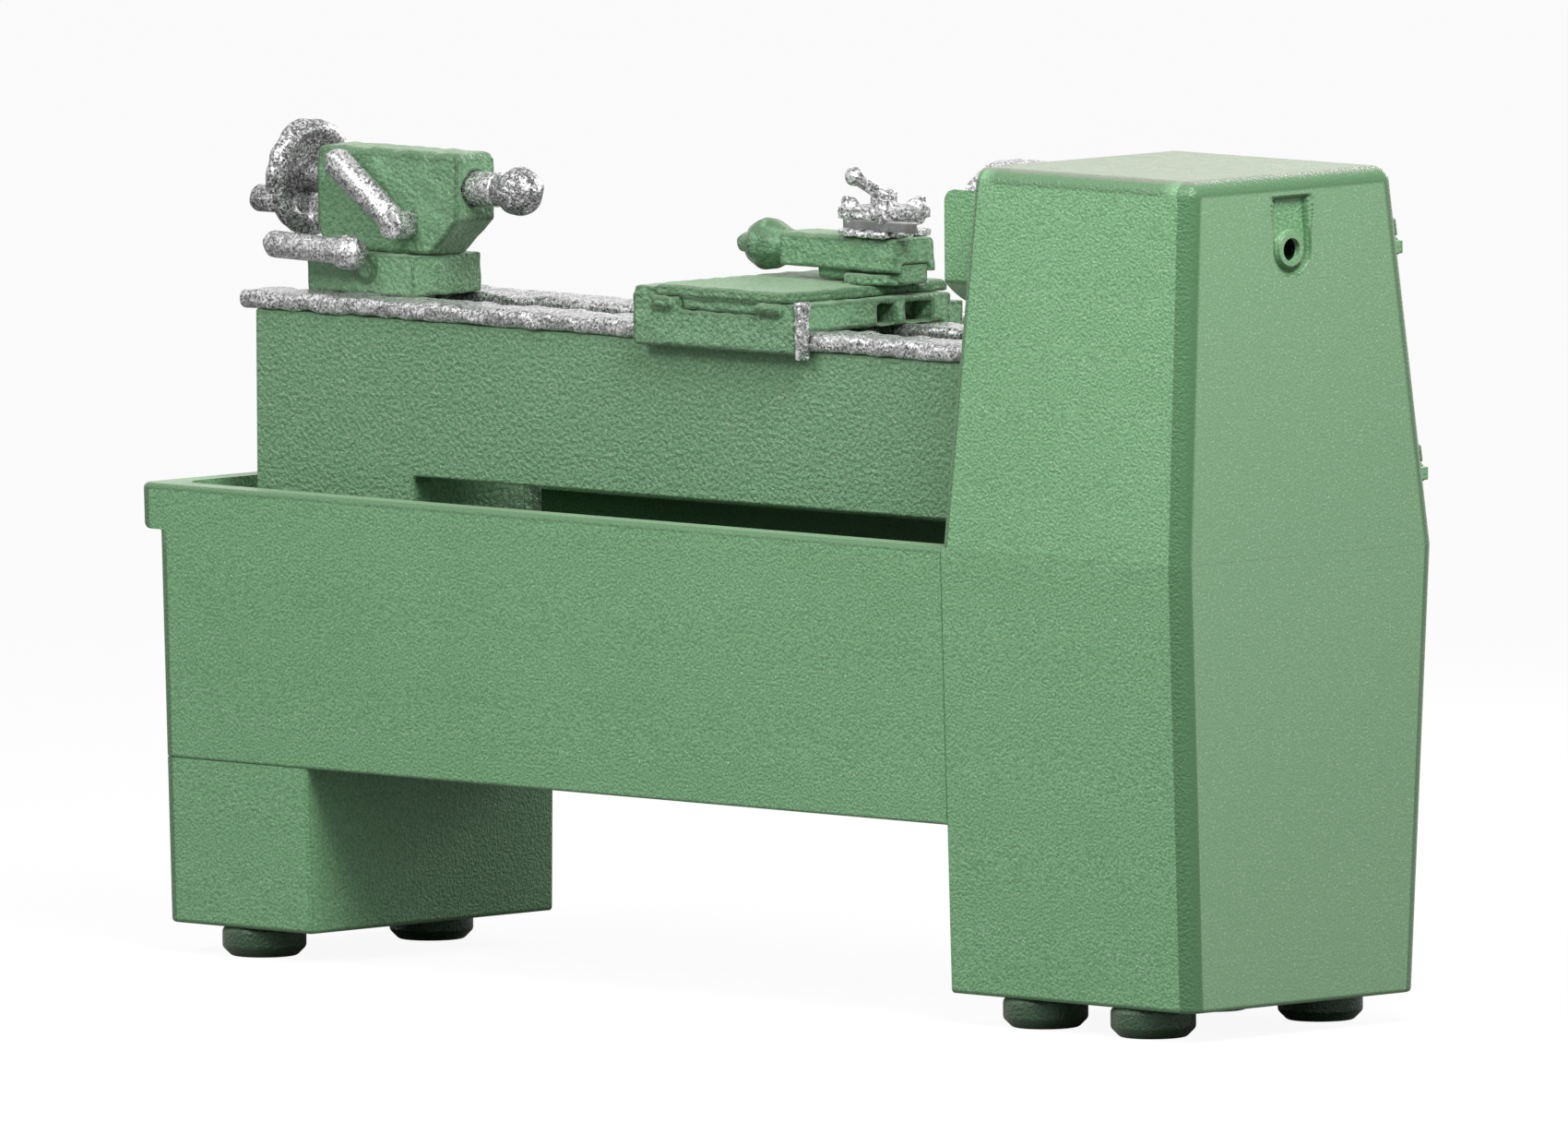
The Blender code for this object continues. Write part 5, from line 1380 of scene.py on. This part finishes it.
            shell.points[:, 0] = x + self.nose_slope * (z - low) * lean
        flat = outline(inner[::-1], 0.009, -0.002, side=24)
        bore = Span.of("rear_spindle_bearing").size.z / 2 + self.bearing_fit
        shells.append(plate_with_hole(flat, self.axis, bore, (room, room + self.bearing_wall)))
        end = Span.of("chuck_guard").low.x + 0.008
        shells.append(rod((end - self.boss_length, end), self.boss, self.axis, Axis.X, sides=72))
        idler = Span.of("idler_gear")
        stud = (idler.middle.y, idler.middle.z)
        shells.append(rod((idler.low.x - 0.004, room + 0.01), self.stud, stud, Axis.X))
        lever = Span.of("speed_lever")
        hub = (lever.middle.x, lever.low.z + self.lever_hub)
        ends = (lever.high.y, lever.high.y + 0.06)
        shells.append(rod(ends, self.lever_boss, hub, Axis.Y, 0.004))
        shells += self.knuckles(1)
        self.build.piece("headstock_housing", shells, "base", self.paints.green)

    def make_controls(self) -> None:
        """The push-button box, its two buttons and the speed lever."""
        paints, panel = self.paints, Span.of("control_panel")
        (top_y, top_z), (low_y, low_z) = self.section()[2:]
        slope = (top_y - low_y) / (top_z - low_z)
        low, high, out = panel.low.z, panel.high.z, panel.low.y
        face = [low_y + slope * (z - low_z) - GAP for z in (low, high)]
        corners = [(out, low), (face[0], low), (face[1], high), (out, high)]
        ends, radii = (panel.low.x, panel.high.x), (0.006, 0.001, 0.001, 0.006)
        shells = [prism(corners, radii, ends, Axis.X, (0.006, 0.006))]
        for name, colour in (("start_button", paints.black), ("stop_button", paints.red)):
            span = Span.of(name)
            where, radius = (span.middle.x, span.middle.z), span.size.x / 2
            collar = [
                (out + 0.004, radius - 0.003),
                (out + 0.004, radius + 0.006),
                (out - 0.0030, radius + 0.005),
                (out - 0.0030, radius + 0.0008),
            ]
            shells.append(turned(collar, where, Axis.Y, ring=True))
            cap = [
                (span.low.y, 0.0),
                (span.low.y + 0.0008, radius * 0.6),
                (span.low.y + 0.003, radius),
                (span.low.y + 0.008, radius),
                (span.low.y + 0.008, 0.0122),
                (span.high.y, 0.0122),
                (span.high.y, 0.0),
            ]
            self.build.piece(name, [turned(soft_line(cap, 0.0015), where, Axis.Y, 56)], name, colour)
        self.build.piece("control_panel", shells, "base", paints.dark)
        lever = Span.of("speed_lever")
        back, hub = lever.high.y, (lever.middle.x, lever.low.z + self.lever_hub)
        top = (hub[0], lever.low.y + 0.014, lever.high.z - 0.014)
        shells = [
            rod((back - 0.022, back), self.lever_hub, hub, Axis.Y, 0.004),
            capsule((hub[0], back - 0.012, hub[1] + 0.006), top, (0.0078, 0.0062)),
            ball(top, self.lever_ball),
        ]
        self.build.piece("speed_lever", shells, "speed_lever", paints.silver, (0.0005, 0.02))

    def make(self) -> None:
        """All of the headstock."""
        self.make_cover()
        self.make_housing()
        self.make_controls()


@dataclass
class SpindleLine(Assembly):
    """The spindle, chuck, guard and the drive that turns them."""

    lip: float = 0.008
    crown: float = 0.0006
    bore: float = 0.0430
    guard_wall: float = 0.006
    guard_inner: float = 0.090
    guard_corner: float = 0.020
    guard_ring: Pair = (0.0845, 0.097)
    guard_from: float = math.radians(-71)
    guard_to: float = math.radians(33)
    shaft: float = 0.0138
    fins: int = 12
    fin_pitch: float = 0.0145
    fin_height: float = 0.006
    axis: Pair = field(init=False)

    def __post_init__(self) -> None:
        """Finds the spindle's axis."""
        chuck = Span.of("chuck_body").middle
        self.axis = (chuck.y, chuck.z)

    def make_chuck(self) -> None:
        """The chuck's body with its bore, and its three stepped jaws."""
        self.build.softened("chuck_body", "spindle", self.paints.silver, 0.0022, 5, (0.0004, 0.02))
        for number in (1, 2, 3):
            self.build.softened(f"chuck_jaw_{number}", f"jaw_{number}", self.paints.steel, 0.0011, 2)

    def squared(self, angle: float, share: float, outer: float) -> Pair:
        """A place on the guard's path: a circle pressed flat at the rear.

        It is (the lesser of 1 and 1.25 cos t, sin t), times the outer radius and the share.

        Args:
            angle: t, from the rear upwards.
            share: 1 on the outer face, less inside.
            outer: the outer radius.

        Returns:
            The (y, z) place.
        """
        across, size = min(1.0, 1.25 * math.cos(angle)), outer * share
        return self.axis[0] + size * across, self.axis[1] + size * math.sin(angle)

    def make_guard(self) -> None:
        """The guard: a bent plate with a side plate, carried by a ring on the nose.

        Both are grids over the angle. At each angle a small rounded loop runs from the
        inner share of the path to the outer one, and the free top corner is cut back.
        """
        span = Span.of("chuck_guard")
        outer = span.high.y - self.axis[0]
        start, end, wall, corner = span.low.x, span.high.x, self.guard_wall, self.guard_corner
        parts = []
        for low, reach, soft in (
            (1 - wall / outer, end, 0.0022),
            (self.guard_inner / outer, start + wall, 0.0015),
        ):
            rings = []
            for angle in np.linspace(self.guard_from, self.guard_to, 60):
                near = (math.sin(self.guard_to) - math.sin(angle)) * outer
                cut = corner - math.sqrt(max(corner**2 - max(corner - near, 0.0) ** 2, 0.0))
                far = reach - cut if reach == end else reach
                loop = outline(rectangle((start, far), (low * outer, outer)), soft, arc=5, side=10)
                places = [self.squared(angle, radius / outer, outer) for radius in loop[:, 1]]
                y, z = np.array(places).T
                rings.append(Axis.X.place(loop[:, 0], y, z))
            parts.append(Shell.from_rings(np.array(rings)))
        near, far = self.guard_ring
        ring = [(start, near), (start, far), (start + wall, far), (start + wall, near)]
        parts.append(turned(ring, self.axis, ring=True))
        self.build.piece("chuck_guard", parts, "chuck_guard", self.paints.green)

    def pulley(self, node: str, bore: float) -> Shell:
        """A crowned flat-belt pulley: the crown is a low arc between the two lips.

        Args:
            node: the node that it stands for.
            bore: the radius of its bore. At 0 it has none.

        Returns:
            The closed surface.
        """
        span, belt = Span.of(node), Span.of("drive_belt")
        outer = span.size.z / 2
        x0, x1, b0, b1 = span.low.x, span.high.x, belt.low.x, belt.high.x
        if node == "motor_pulley":
            x1 = b1 + (b0 - x0)
        share = np.linspace(0.0, 1.0, 9)
        radius = outer - self.lip - self.crown * (2 * share - 1) ** 2
        rim = [(x0, bore), (x0, outer), (b0 - GAP, outer)]
        far = [(b1 + GAP, outer), (x1, outer), (x1, bore)]
        line = np.concatenate([rim, np.stack([lerp(b0, b1, share), radius], axis=-1), far])
        return turned(line, (span.middle.y, span.middle.z), ring=bore > 0)

    def make_drive(self) -> None:
        """The pulleys, the spindle, its bearings, the motor and its cradle."""
        paints = self.paints
        pulley = self.pulley("spindle_pulley", self.bore)
        self.build.piece("spindle_pulley", [pulley], "spindle", paints.steel)
        motor = Span.of("motor_pulley")
        centre = (motor.middle.y, motor.middle.z)
        shaft = rod((motor.low.x + 0.01, motor.high.x), self.shaft, centre, Axis.X)
        shells = [self.pulley("motor_pulley", 0.0), shaft]
        self.build.piece("motor_pulley", shells, "motor_rotor", paints.steel)
        span = Span.of("drive_motor")
        radius, x0, x1 = span.size.z / 2, span.low.x, span.high.x
        root = radius - self.fin_height
        points = [
            (x0 + 0.030, 0.0),
            (x0 + 0.030, 0.0146),
            (x0, 0.0146),
            (x0, 0.055),
            (x0 + 0.012, radius - 0.010),
            (x0 + 0.012, radius),
            (x0 + 0.045, radius),
            (x0 + 0.045, root),
        ]
        for number in range(self.fins):
            a = x0 + 0.050 + number * self.fin_pitch
            points += [(a, root), (a + 0.001, radius), (a + 0.006, radius), (a + 0.007, root)]
        points += [(x1 - 0.020, radius - 0.002), (x1, radius - 0.020), (x1, 0.0)]
        shell = turned(soft_line(points, 0.002, 3), (span.middle.y, span.middle.z))
        self.build.piece("drive_motor", [shell], "base", paints.dark)
        self.build.paint(paints.dark, "motor_bracket")
        self.build.paint(paints.rubber, "drive_belt")
        self.build.paint(paints.steel, "spindle", "front_spindle_bearing", "rear_spindle_bearing")
        self.build.paint(paints.steel, "spindle_gear", "idler_gear", "leadscrew_gear")

    def make(self) -> None:
        """All of the spindle line."""
        self.make_chuck()
        self.make_guard()
        self.make_drive()


@dataclass
class Feed(Assembly):
    """The lead screw and feed rod with the castings that carry them."""

    pitch: float = 0.006
    thread: float = 0.0014
    sides: int = 28
    per_pitch: int = 6
    plain: Pair = (0.56, 0.06)
    fade: float = 0.01

    def screw(self, span: Span, radius: float) -> Shell:
        """A threaded bar: the radius follows a trapezoid wave of the length less the turn.

        The wave is the clipped sine of tau * (x / pitch - angle / tau), which fades out
        towards both ends, where the bar is plain.

        Args:
            span: the bar's box.
            radius: the radius over the thread.

        Returns:
            The closed surface.
        """
        low, high = span.low.x, span.high.x
        x = np.arange(low + 0.001, high - 0.001, self.pitch / self.per_pitch)[:, None]
        angle = np.linspace(0.0, math.tau, self.sides, endpoint=False)
        wave = np.clip(1.6 * np.sin(math.tau * x / self.pitch - angle), -1.0, 1.0)
        started = smooth_step((x - low - self.plain[0]) / self.fade)
        ended = smooth_step((high - self.plain[1] - x) / self.fade)
        size = radius - self.thread * (0.5 - 0.5 * wave) * (started * ended)
        y = span.middle.y + size * np.cos(angle)
        z = span.middle.z + size * np.sin(angle)
        rings = Axis.X.place(x, y, z)
        first, last = rings[:1].copy(), rings[-1:].copy()
        first[..., 0], last[..., 0] = low, high
        middle = np.array([span.middle.y, span.middle.z])
        for ring in (first, last):
            ring[..., 1:] = middle + 0.9 * (ring[..., 1:] - middle)
        return Shell.from_rings(np.concatenate([first, rings, last]))

    def make(self) -> None:
        """The screw, the rod, the gearbox and the end bracket."""
        span = Span.of("leadscrew")
        shell = self.screw(span, span.size.z / 2)
        self.build.piece("leadscrew", [shell], "leadscrew", self.paints.screw)
        span = Span.of("feed_rod")
        centre = (span.middle.y, span.middle.z)
        shell = rod((span.low.x, span.high.x), span.size.z / 2, centre, Axis.X)
        self.build.piece("feed_rod", [shell], "feed_rod", self.paints.screw)
        for node in ("feed_gearbox", "leadscrew_bracket"):
            self.build.softened(node, "base", self.paints.cast, 0.0025, 5)


# ---------------------------------------------------------------- carriage
@dataclass(frozen=True)
class HandwheelForm:
    """A dished handwheel: a thick rim, a thin disc and a hub, as one turned profile."""

    radius: float
    rim: float
    width: float
    hub: float

    def profile(self, rim_start: float, hub_ends: Pair, facing: int) -> Array:
        """The profile's points, from one end of the hub over the rim to the other.

        The rim is an ellipse over its width and height. facing is 1 when the wheel's
        outer side looks along the axis and -1 when it looks back.

        Args:
            rim_start: where the rim begins along the axis.
            hub_ends: where the hub starts and stops.
            facing: 1 or -1.

        Returns:
            The (along, radius) points.
        """
        middle = rim_start + self.width / 2
        web = self.width * 0.18
        angle = np.linspace(-0.80 * math.pi, 0.80 * math.pi, 25)
        rim_x = middle + facing * self.width / 2 * np.sin(angle)
        rim_r = self.radius - self.rim / 2 + self.rim / 2 * np.cos(angle)
        rim = np.stack([rim_x, rim_r], axis=-1)
        near, far = hub_ends if facing > 0 else hub_ends[::-1]
        head = [(near, 0.0), (near, self.hub), (middle - facing * web, self.hub)]
        tail = [(middle + facing * web, self.hub), (far, self.hub), (far, 0.0)]
        return np.concatenate([soft_line(head, 0.002), rim, soft_line(tail, 0.003)])


@dataclass
class Carriage(Assembly):
    """The saddle and apron with the hand controls on the operator's side."""

    wheel_rim: float = 0.016
    wheel_hub: float = 0.020
    wheel_out: float = 0.040
    grip_at: Pair = (0.052, 0.046)
    crank_hub: float = 0.028
    crank_grip: float = 0.010
    crank_thick: float = 0.024
    halfnut_hub: float = 0.017
    halfnut_ball: float = 0.0118
    lever_lumps: Pair = (0.0004, 0.02)

    def make(self) -> None:
        """All of the carriage below the cross slide."""
        soften, paints = self.build.softened, self.paints
        soften("saddle", "carriage", paints.cast, 0.0026, 6, (0.0005, 0.03))
        soften("apron", "carriage", paints.cast, 0.0030, 6)
        soften("saddle_wiper", "carriage", paints.silver, 0.0016, 5, (0.0006, 0.014))
        self.make_wheel()
        self.make_crank()
        self.make_halfnut()

    def make_wheel(self) -> None:
        """The carriage handwheel with its turning grip."""
        span = Span.of("carriage_handwheel")
        radius, low = span.size.x / 2, span.low.y
        centre = (span.low.x + radius, span.low.z + radius)
        back = Span.of("apron").low.y - GAP
        form = HandwheelForm(radius, self.wheel_rim, self.wheel_rim, self.wheel_hub)
        line = form.profile(back - self.wheel_out, (back, back - self.wheel_out - 0.004), -1)
        grip = [
            (low + 0.0002, 0.0),
            (low + 0.0002, 0.0105),
            (lerp(low, back, 0.35), 0.0112),
            (back - 0.038, 0.0075),
            (back - 0.030, 0.0075),
            (back - 0.030, 0.0),
        ]
        where = (centre[0] + self.grip_at[0], centre[1] + self.grip_at[1])
        shells = [turned(line, centre, Axis.Y), turned(soft_line(grip, 0.004), where, Axis.Y, 40)]
        self.build.piece("carriage_handwheel", shells, "carriage_handwheel", self.paints.silver)

    def make_crank(self) -> None:
        """The cross slide's crank: a hub, an arm and a grip."""
        span, thick, hub = Span.of("cross_slide_crank"), self.crank_thick, self.crank_hub
        back, z = span.high.y, span.middle.z
        centre, grip = (span.high.x - hub, z), (span.low.x + self.crank_grip, z)
        near, far = (centre[0], back - 0.017, z), (grip[0], back - 0.030, z)
        shells = [
            rod((back - thick, back), hub, centre, Axis.Y, 0.004),
            capsule(near, far, (0.0095, 0.0085)),
            rod((span.low.y + 0.0008, back - thick), self.crank_grip, grip, Axis.Y, 0.005),
        ]
        silver = self.paints.silver
        self.build.piece("cross_slide_crank", shells, "cross_slide_crank", silver, self.lever_lumps)

    def make_halfnut(self) -> None:
        """The half-nut lever: a hub, a stem and a ball."""
        span, hub = Span.of("halfnut_lever"), self.halfnut_hub
        back, x, z = span.high.y, span.middle.x, span.low.z + hub
        top = (x, back - 0.016, span.high.z - 0.012)
        shells = [
            rod((back - 0.020, back), hub, (x, z), Axis.Y, 0.003),
            capsule((x, back - 0.010, z), top, (0.0065, 0.0055)),
            ball(top, self.halfnut_ball),
        ]
        silver = self.paints.silver
        self.build.piece("halfnut_lever", shells, "halfnut_lever", silver, self.lever_lumps)


@dataclass
class Compound(Assembly):
    """The cross slide, the swivelling top slide and the tool post."""

    screw_head: float = 0.0145
    screw_sink: float = 0.014
    screw_inset: float = 0.001
    lever_hub: float = 0.020
    lever_inset: float = 0.0145
    lever_ball: float = 0.0142
    handle_shape: tuple[Pair, ...] = (
        (0.0, 0.0),
        (0.0, 0.59),
        (0.16, 0.64),
        (0.43, 0.97),
        (0.58, 1.0),
        (0.73, 0.74),
        (0.80, 0.40),
        (0.95, 0.36),
        (1.0, 0.24),
        (1.0, 0.0),
    )

    def make(self) -> None:
        """All that stands on the saddle."""
        soften, paints = self.build.softened, self.paints
        soften("cross_slide", "cross_slide", paints.cast, 0.0026, 5, (0.0004, 0.03))
        soften("swivel_base", "swivel", paints.cast, 0.0022, 5, (0.0004, 0.03))
        soften("top_slide", "top_slide", paints.cast, 0.0022, 5, (0.0004, 0.03))
        self.make_handle()
        soften("tool_post", "tool_post", paints.silver, 0.0017, 5, (0.0009, 0.016))
        soften("cutting_tool", "tool_post", paints.steel, 0.0011, 2)
        self.make_screws()
        self.make_lever()

    def make_screws(self) -> None:
        """The tool post's four clamp screws, with big round heads."""
        span, head = Span.of("tool_post"), self.screw_head
        high, inset = span.high.z - head - 0.0008, head + self.screw_inset
        shells = []
        for x in (span.low.x + inset, span.high.x - inset):
            for y in (span.low.y + inset, span.high.y - inset):
                shells.append(capsule((x, y, high - self.screw_sink), (x, y, high), (head, head)))
        lumps, silver = (0.0007, 0.02), self.paints.silver
        self.build.piece("tool_post_screws", shells, "tool_post", silver, lumps, "tool_post")

    def make_handle(self) -> None:
        """The top slide's flared handle, as shares of its length and its radius."""
        span = Span.of("top_slide_handle")
        length, radius = span.high.x - span.low.x, span.size.z / 2
        points = [(span.low.x + along * length, out * radius) for along, out in self.handle_shape]
        shell = turned(soft_line(points, 0.014), (span.middle.y, span.middle.z))
        lumps = (0.0007, 0.03)
        self.build.piece("top_slide_handle", [shell], "top_slide_handle", self.paints.cast, lumps)

    def make_lever(self) -> None:
        """The tool post's clamping lever."""
        span, post = Span.of("tool_post_lever"), Span.of("tool_post").middle
        low, inset = span.low.z, self.lever_inset
        end = (span.high.x - inset, span.high.y - inset, span.high.z - inset)
        shells = [
            rod((low, low + 0.026), self.lever_hub, (post.x, post.y), Axis.Z, 0.005),
            capsule((post.x, post.y, low + 0.015), end, (0.0110, 0.0090)),
            ball(end, self.lever_ball),
        ]
        lumps = (0.0008, 0.015)
        self.build.piece("tool_post_lever", shells, "tool_post_lever", self.paints.silver, lumps)


# ---------------------------------------------------------------- tailstock
@dataclass
class Tailstock(Assembly):
    """The tailstock with its quill, live centre, handwheel and two levers."""

    bore: float = 0.0166
    neck: float = 0.0155
    collar: float = 0.0235
    ball_out: float = 0.044
    wheel_rim: Pair = (0.034, 0.030)
    wheel_hub: float = 0.024
    wheel_out: float = 0.040
    grip_at: Pair = (0.069, -0.031)
    grip: float = 0.0205
    screw: float = 0.0098
    lock_hub: float = 0.0225
    lock_arm: float = 0.0215
    clamp_ball: float = 0.0225
    clamp_arm: float = 0.0205
    clamp_pin: float = 0.0118
    lever_lumps: Pair = (0.0010, 0.026)
    axis: Pair = field(init=False)

    def __post_init__(self) -> None:
        """Finds the quill's axis."""
        quill = Span.of("quill").middle
        self.axis = (quill.y, quill.z)

    def make(self) -> None:
        """All of the tailstock."""
        soften, cast = self.build.softened, self.paints.cast
        soften("tailstock_base", "tailstock", cast, 0.0026, 6, (0.0005, 0.03))
        soften("tailstock_body", "tailstock", cast, 0.0026, 7, (0.0006, 0.03))
        self.build.paint(self.paints.steel, "tailstock_clamp_plate")
        self.make_quill()
        self.make_wheel()
        self.make_levers()

    def make_quill(self) -> None:
        """The quill's tube and the ball-nosed live centre in it."""
        span, bore = Span.of("quill"), self.bore
        x0, x1, radius = span.low.x, span.high.x, span.size.z / 2
        ring = [(x0, bore), (x0, radius - 0.002), (x0 + 0.002, radius), (x1, radius), (x1, bore)]
        shell = turned(ring, self.axis, ring=True)
        self.build.piece("quill", [shell], "quill", self.paints.silver, (0.0003, 0.03))
        span = Span.of("live_centre")
        low, high, bulb, face = span.low.x, span.high.x, span.size.z / 2, x0 - GAP
        angle = np.linspace(math.radians(12), math.radians(140), 22)
        along = x0 - self.ball_out - bulb * np.cos(angle)
        nose = [(low, 0.0), (low + 0.003, 0.006)]
        neck = [(face, self.collar), (face, self.neck), (high, self.neck), (high, 0.0)]
        line = np.concatenate([nose, np.stack([along, bulb * np.sin(angle)], axis=-1), neck])
        shell = turned(line, self.axis)
        self.build.piece("live_centre", [shell], "live_centre", self.paints.shaded, (0.0008, 0.025))

    def make_wheel(self) -> None:
        """The handwheel, its stub grip and the screw's end."""
        span = Span.of("tailstock_handwheel")
        body = Span.of("tailstock_body").high.x
        start = body + self.wheel_out
        form = HandwheelForm(span.size.z / 2, *self.wheel_rim, self.wheel_hub)
        line = form.profile(start, (body + GAP, start + 0.032), 1)
        grip = (self.axis[0] + self.grip_at[0], self.axis[1] + self.grip_at[1])
        shells = [
            turned(line, self.axis),
            rod((start + 0.012, span.high.x), self.grip, grip, Axis.X, 0.008),
            rod((span.low.x, body + 0.01), self.screw, self.axis, Axis.X),
        ]
        name, lumps = "tailstock_handwheel", (0.0011, 0.03)
        self.build.piece(name, shells, name, self.paints.shaded, lumps)

    def make_levers(self) -> None:
        """The quill lock on the rear face and the bed clamp below it."""
        silver, lumps, arm = self.paints.silver, self.lever_lumps, self.lock_arm
        span = Span.of("quill_lever")
        hub, middle = (span.low.x + 0.019, span.low.z + 0.019), span.low.y + 0.024
        end = (span.high.x - 0.0165, middle, span.high.z - 0.0165)
        shells = [
            rod((span.low.y, span.high.y + 0.006), self.lock_hub, hub, Axis.Y, 0.006),
            capsule((hub[0], middle, hub[1]), end, (arm, arm)),
        ]
        self.build.piece("quill_lever", shells, "quill_lever", silver, lumps)
        span, out, arm = Span.of("tailstock_clamp_lever"), self.clamp_ball, self.clamp_arm
        start = (span.low.x + out, span.high.y - out + 0.008, span.low.z + out)
        end = (span.high.x - 0.0175, start[1], start[2] + 0.0035)
        pin = (span.low.y + 0.0016, start[1])
        shells = [
            ball(start, out + 0.005, Axis.X, 48),
            capsule(start, end, (arm, arm)),
            rod(pin, self.clamp_pin, (start[0], start[2]), Axis.Y),
        ]
        self.build.piece("tailstock_clamp_lever", shells, "tailstock_clamp_lever", silver, lumps)


# ---------------------------------------------------------------- studio
@dataclass
class Studio:
    """A pale floor, soft lamps, a white surround and the camera."""

    azimuth: float = math.radians(225.28)
    elevation: float = math.radians(5.06)
    roll: float = math.radians(-0.373)
    aim: Point = (-0.036, 0.055, 0.647)
    width: float = 2.365
    lens: float = 1100.0
    sensor: float = 36.0
    world_level: float = 0.40
    floor_bounce: float = 0.22
    floor_level: float = 0.93
    floor_size: float = 60.0
    sight: float = 500.0
    lamp_size: Pair = (2.4, 1.6)

    def make_camera(self) -> None:
        """A long lens, so that the lines of the machine stay almost parallel."""
        a, e = self.azimuth, self.elevation
        back = Vector((math.sin(a) * math.cos(e), -math.cos(a) * math.cos(e), math.sin(e)))
        data = bpy.data.cameras.new("camera")
        data.lens, data.sensor_width, data.clip_end = self.lens, self.sensor, self.sight
        camera = bpy.data.objects.new("camera", data)
        bpy.context.scene.collection.objects.link(camera)
        camera.location = Vector(self.aim) + back * (self.lens / self.sensor * self.width)
        turn = (-back).to_track_quat("-Z", "Y").to_matrix() @ Matrix.Rotation(self.roll, 3, "Z")
        camera.rotation_euler = turn.to_euler()
        bpy.context.scene.camera = camera

    def make_lamp(self, name: str, place: Point, power: float) -> None:
        """A rectangular soft lamp that points at the middle of the machine.

        Args:
            name: the lamp's name.
            place: where it hangs.
            power: its power in watts.
        """
        data = bpy.data.lights.new(name, "AREA")
        data.shape, data.energy = "RECTANGLE", power
        data.size, data.size_y = self.lamp_size
        lamp = bpy.data.objects.new(name, data)
        bpy.context.scene.collection.objects.link(lamp)
        lamp.location = place
        way = Vector(self.aim) - Vector(place)
        lamp.rotation_euler = way.to_track_quat("-Z", "Y").to_euler()

    def make_floor(self) -> None:
        """A pale floor that keeps the machine's soft shadow."""
        bpy.ops.mesh.primitive_plane_add(size=self.floor_size)
        floor = bpy.context.object
        floor.name = "studio_floor"
        made = bpy.data.materials.new("studio_floor")
        made.use_nodes = True
        tree = made.node_tree
        out = tree.nodes["Material Output"]
        tree.nodes.remove(tree.nodes["Principled BSDF"])
        matt = tree.nodes.new("ShaderNodeBsdfDiffuse")
        shade = tree.nodes.new("ShaderNodeMix")
        shade.data_type = "RGBA"
        shade.inputs[6].default_value = (*(self.floor_bounce,) * 3, 1.0)
        shade.inputs[7].default_value = (*(self.floor_level,) * 3, 1.0)
        glow = tree.nodes.new("ShaderNodeEmission")
        path = tree.nodes.new("ShaderNodeLightPath")
        share = tree.nodes.new("ShaderNodeMath")
        share.operation = "MULTIPLY"
        share.inputs[1].default_value = self.floor_level
        mix = tree.nodes.new("ShaderNodeMixShader")
        tree.links.new(path.outputs["Is Camera Ray"], shade.inputs[0])
        tree.links.new(shade.outputs[2], matt.inputs["Color"])
        tree.links.new(path.outputs["Is Camera Ray"], share.inputs[0])
        tree.links.new(share.outputs[0], mix.inputs[0])
        tree.links.new(matt.outputs[0], mix.inputs[1])
        tree.links.new(glow.outputs[0], mix.inputs[2])
        tree.links.new(mix.outputs[0], out.inputs["Surface"])
        floor.data.materials.append(made)

    def make_world(self) -> None:
        """White where the camera, gloss or glass sees it, and a plain level elsewhere."""
        world = bpy.data.worlds.new("studio")
        world.use_nodes = True
        bpy.context.scene.world = world
        tree = world.node_tree
        ground = tree.nodes["Background"]
        path = tree.nodes.new("ShaderNodeLightPath")
        total = path.outputs["Is Camera Ray"]
        for name in ("Is Glossy Ray", "Is Transmission Ray"):
            node = tree.nodes.new("ShaderNodeMath")
            node.operation = "MAXIMUM"
            tree.links.new(total, node.inputs[0])
            tree.links.new(path.outputs[name], node.inputs[1])
            total = node.outputs[0]
        level = tree.nodes.new("ShaderNodeMapRange")
        level.inputs["To Min"].default_value = self.world_level
        level.inputs["To Max"].default_value = 1.0
        tree.links.new(total, level.inputs["Value"])
        ground.inputs["Color"].default_value = (1.0, 1.0, 1.0, 1.0)
        tree.links.new(level.outputs["Result"], ground.inputs["Strength"])

    def make(self) -> None:
        """Everything round the machine."""
        bpy.context.scene.view_settings.view_transform = "Standard"
        self.make_camera()
        self.make_floor()
        self.make_world()
        self.make_lamp("key", (-3.4, 1.4, 4.4), 270.0)
        self.make_lamp("rear_fill", (1.0, 4.2, 4.2), 150.0)
        self.make_lamp("front_fill", (0.6, -4.4, 2.6), 120.0)


# ---------------------------------------------------------------- the whole machine
def main() -> None:
    """Builds the studio and every sub-assembly in order."""
    logging.basicConfig(level=logging.INFO, format="%(name)s: %(message)s")
    Studio().make()
    build = Builder(Paints())
    CabinetBase(build).make()
    Bed(build).make()
    Headstock(build).make()
    SpindleLine(build).make()
    Feed(build).make()
    Carriage(build).make()
    Compound(build).make()
    Tailstock(build).make()
    log.info("%d pieces made", len(build.made))


if __name__ == "__main__":
    main()
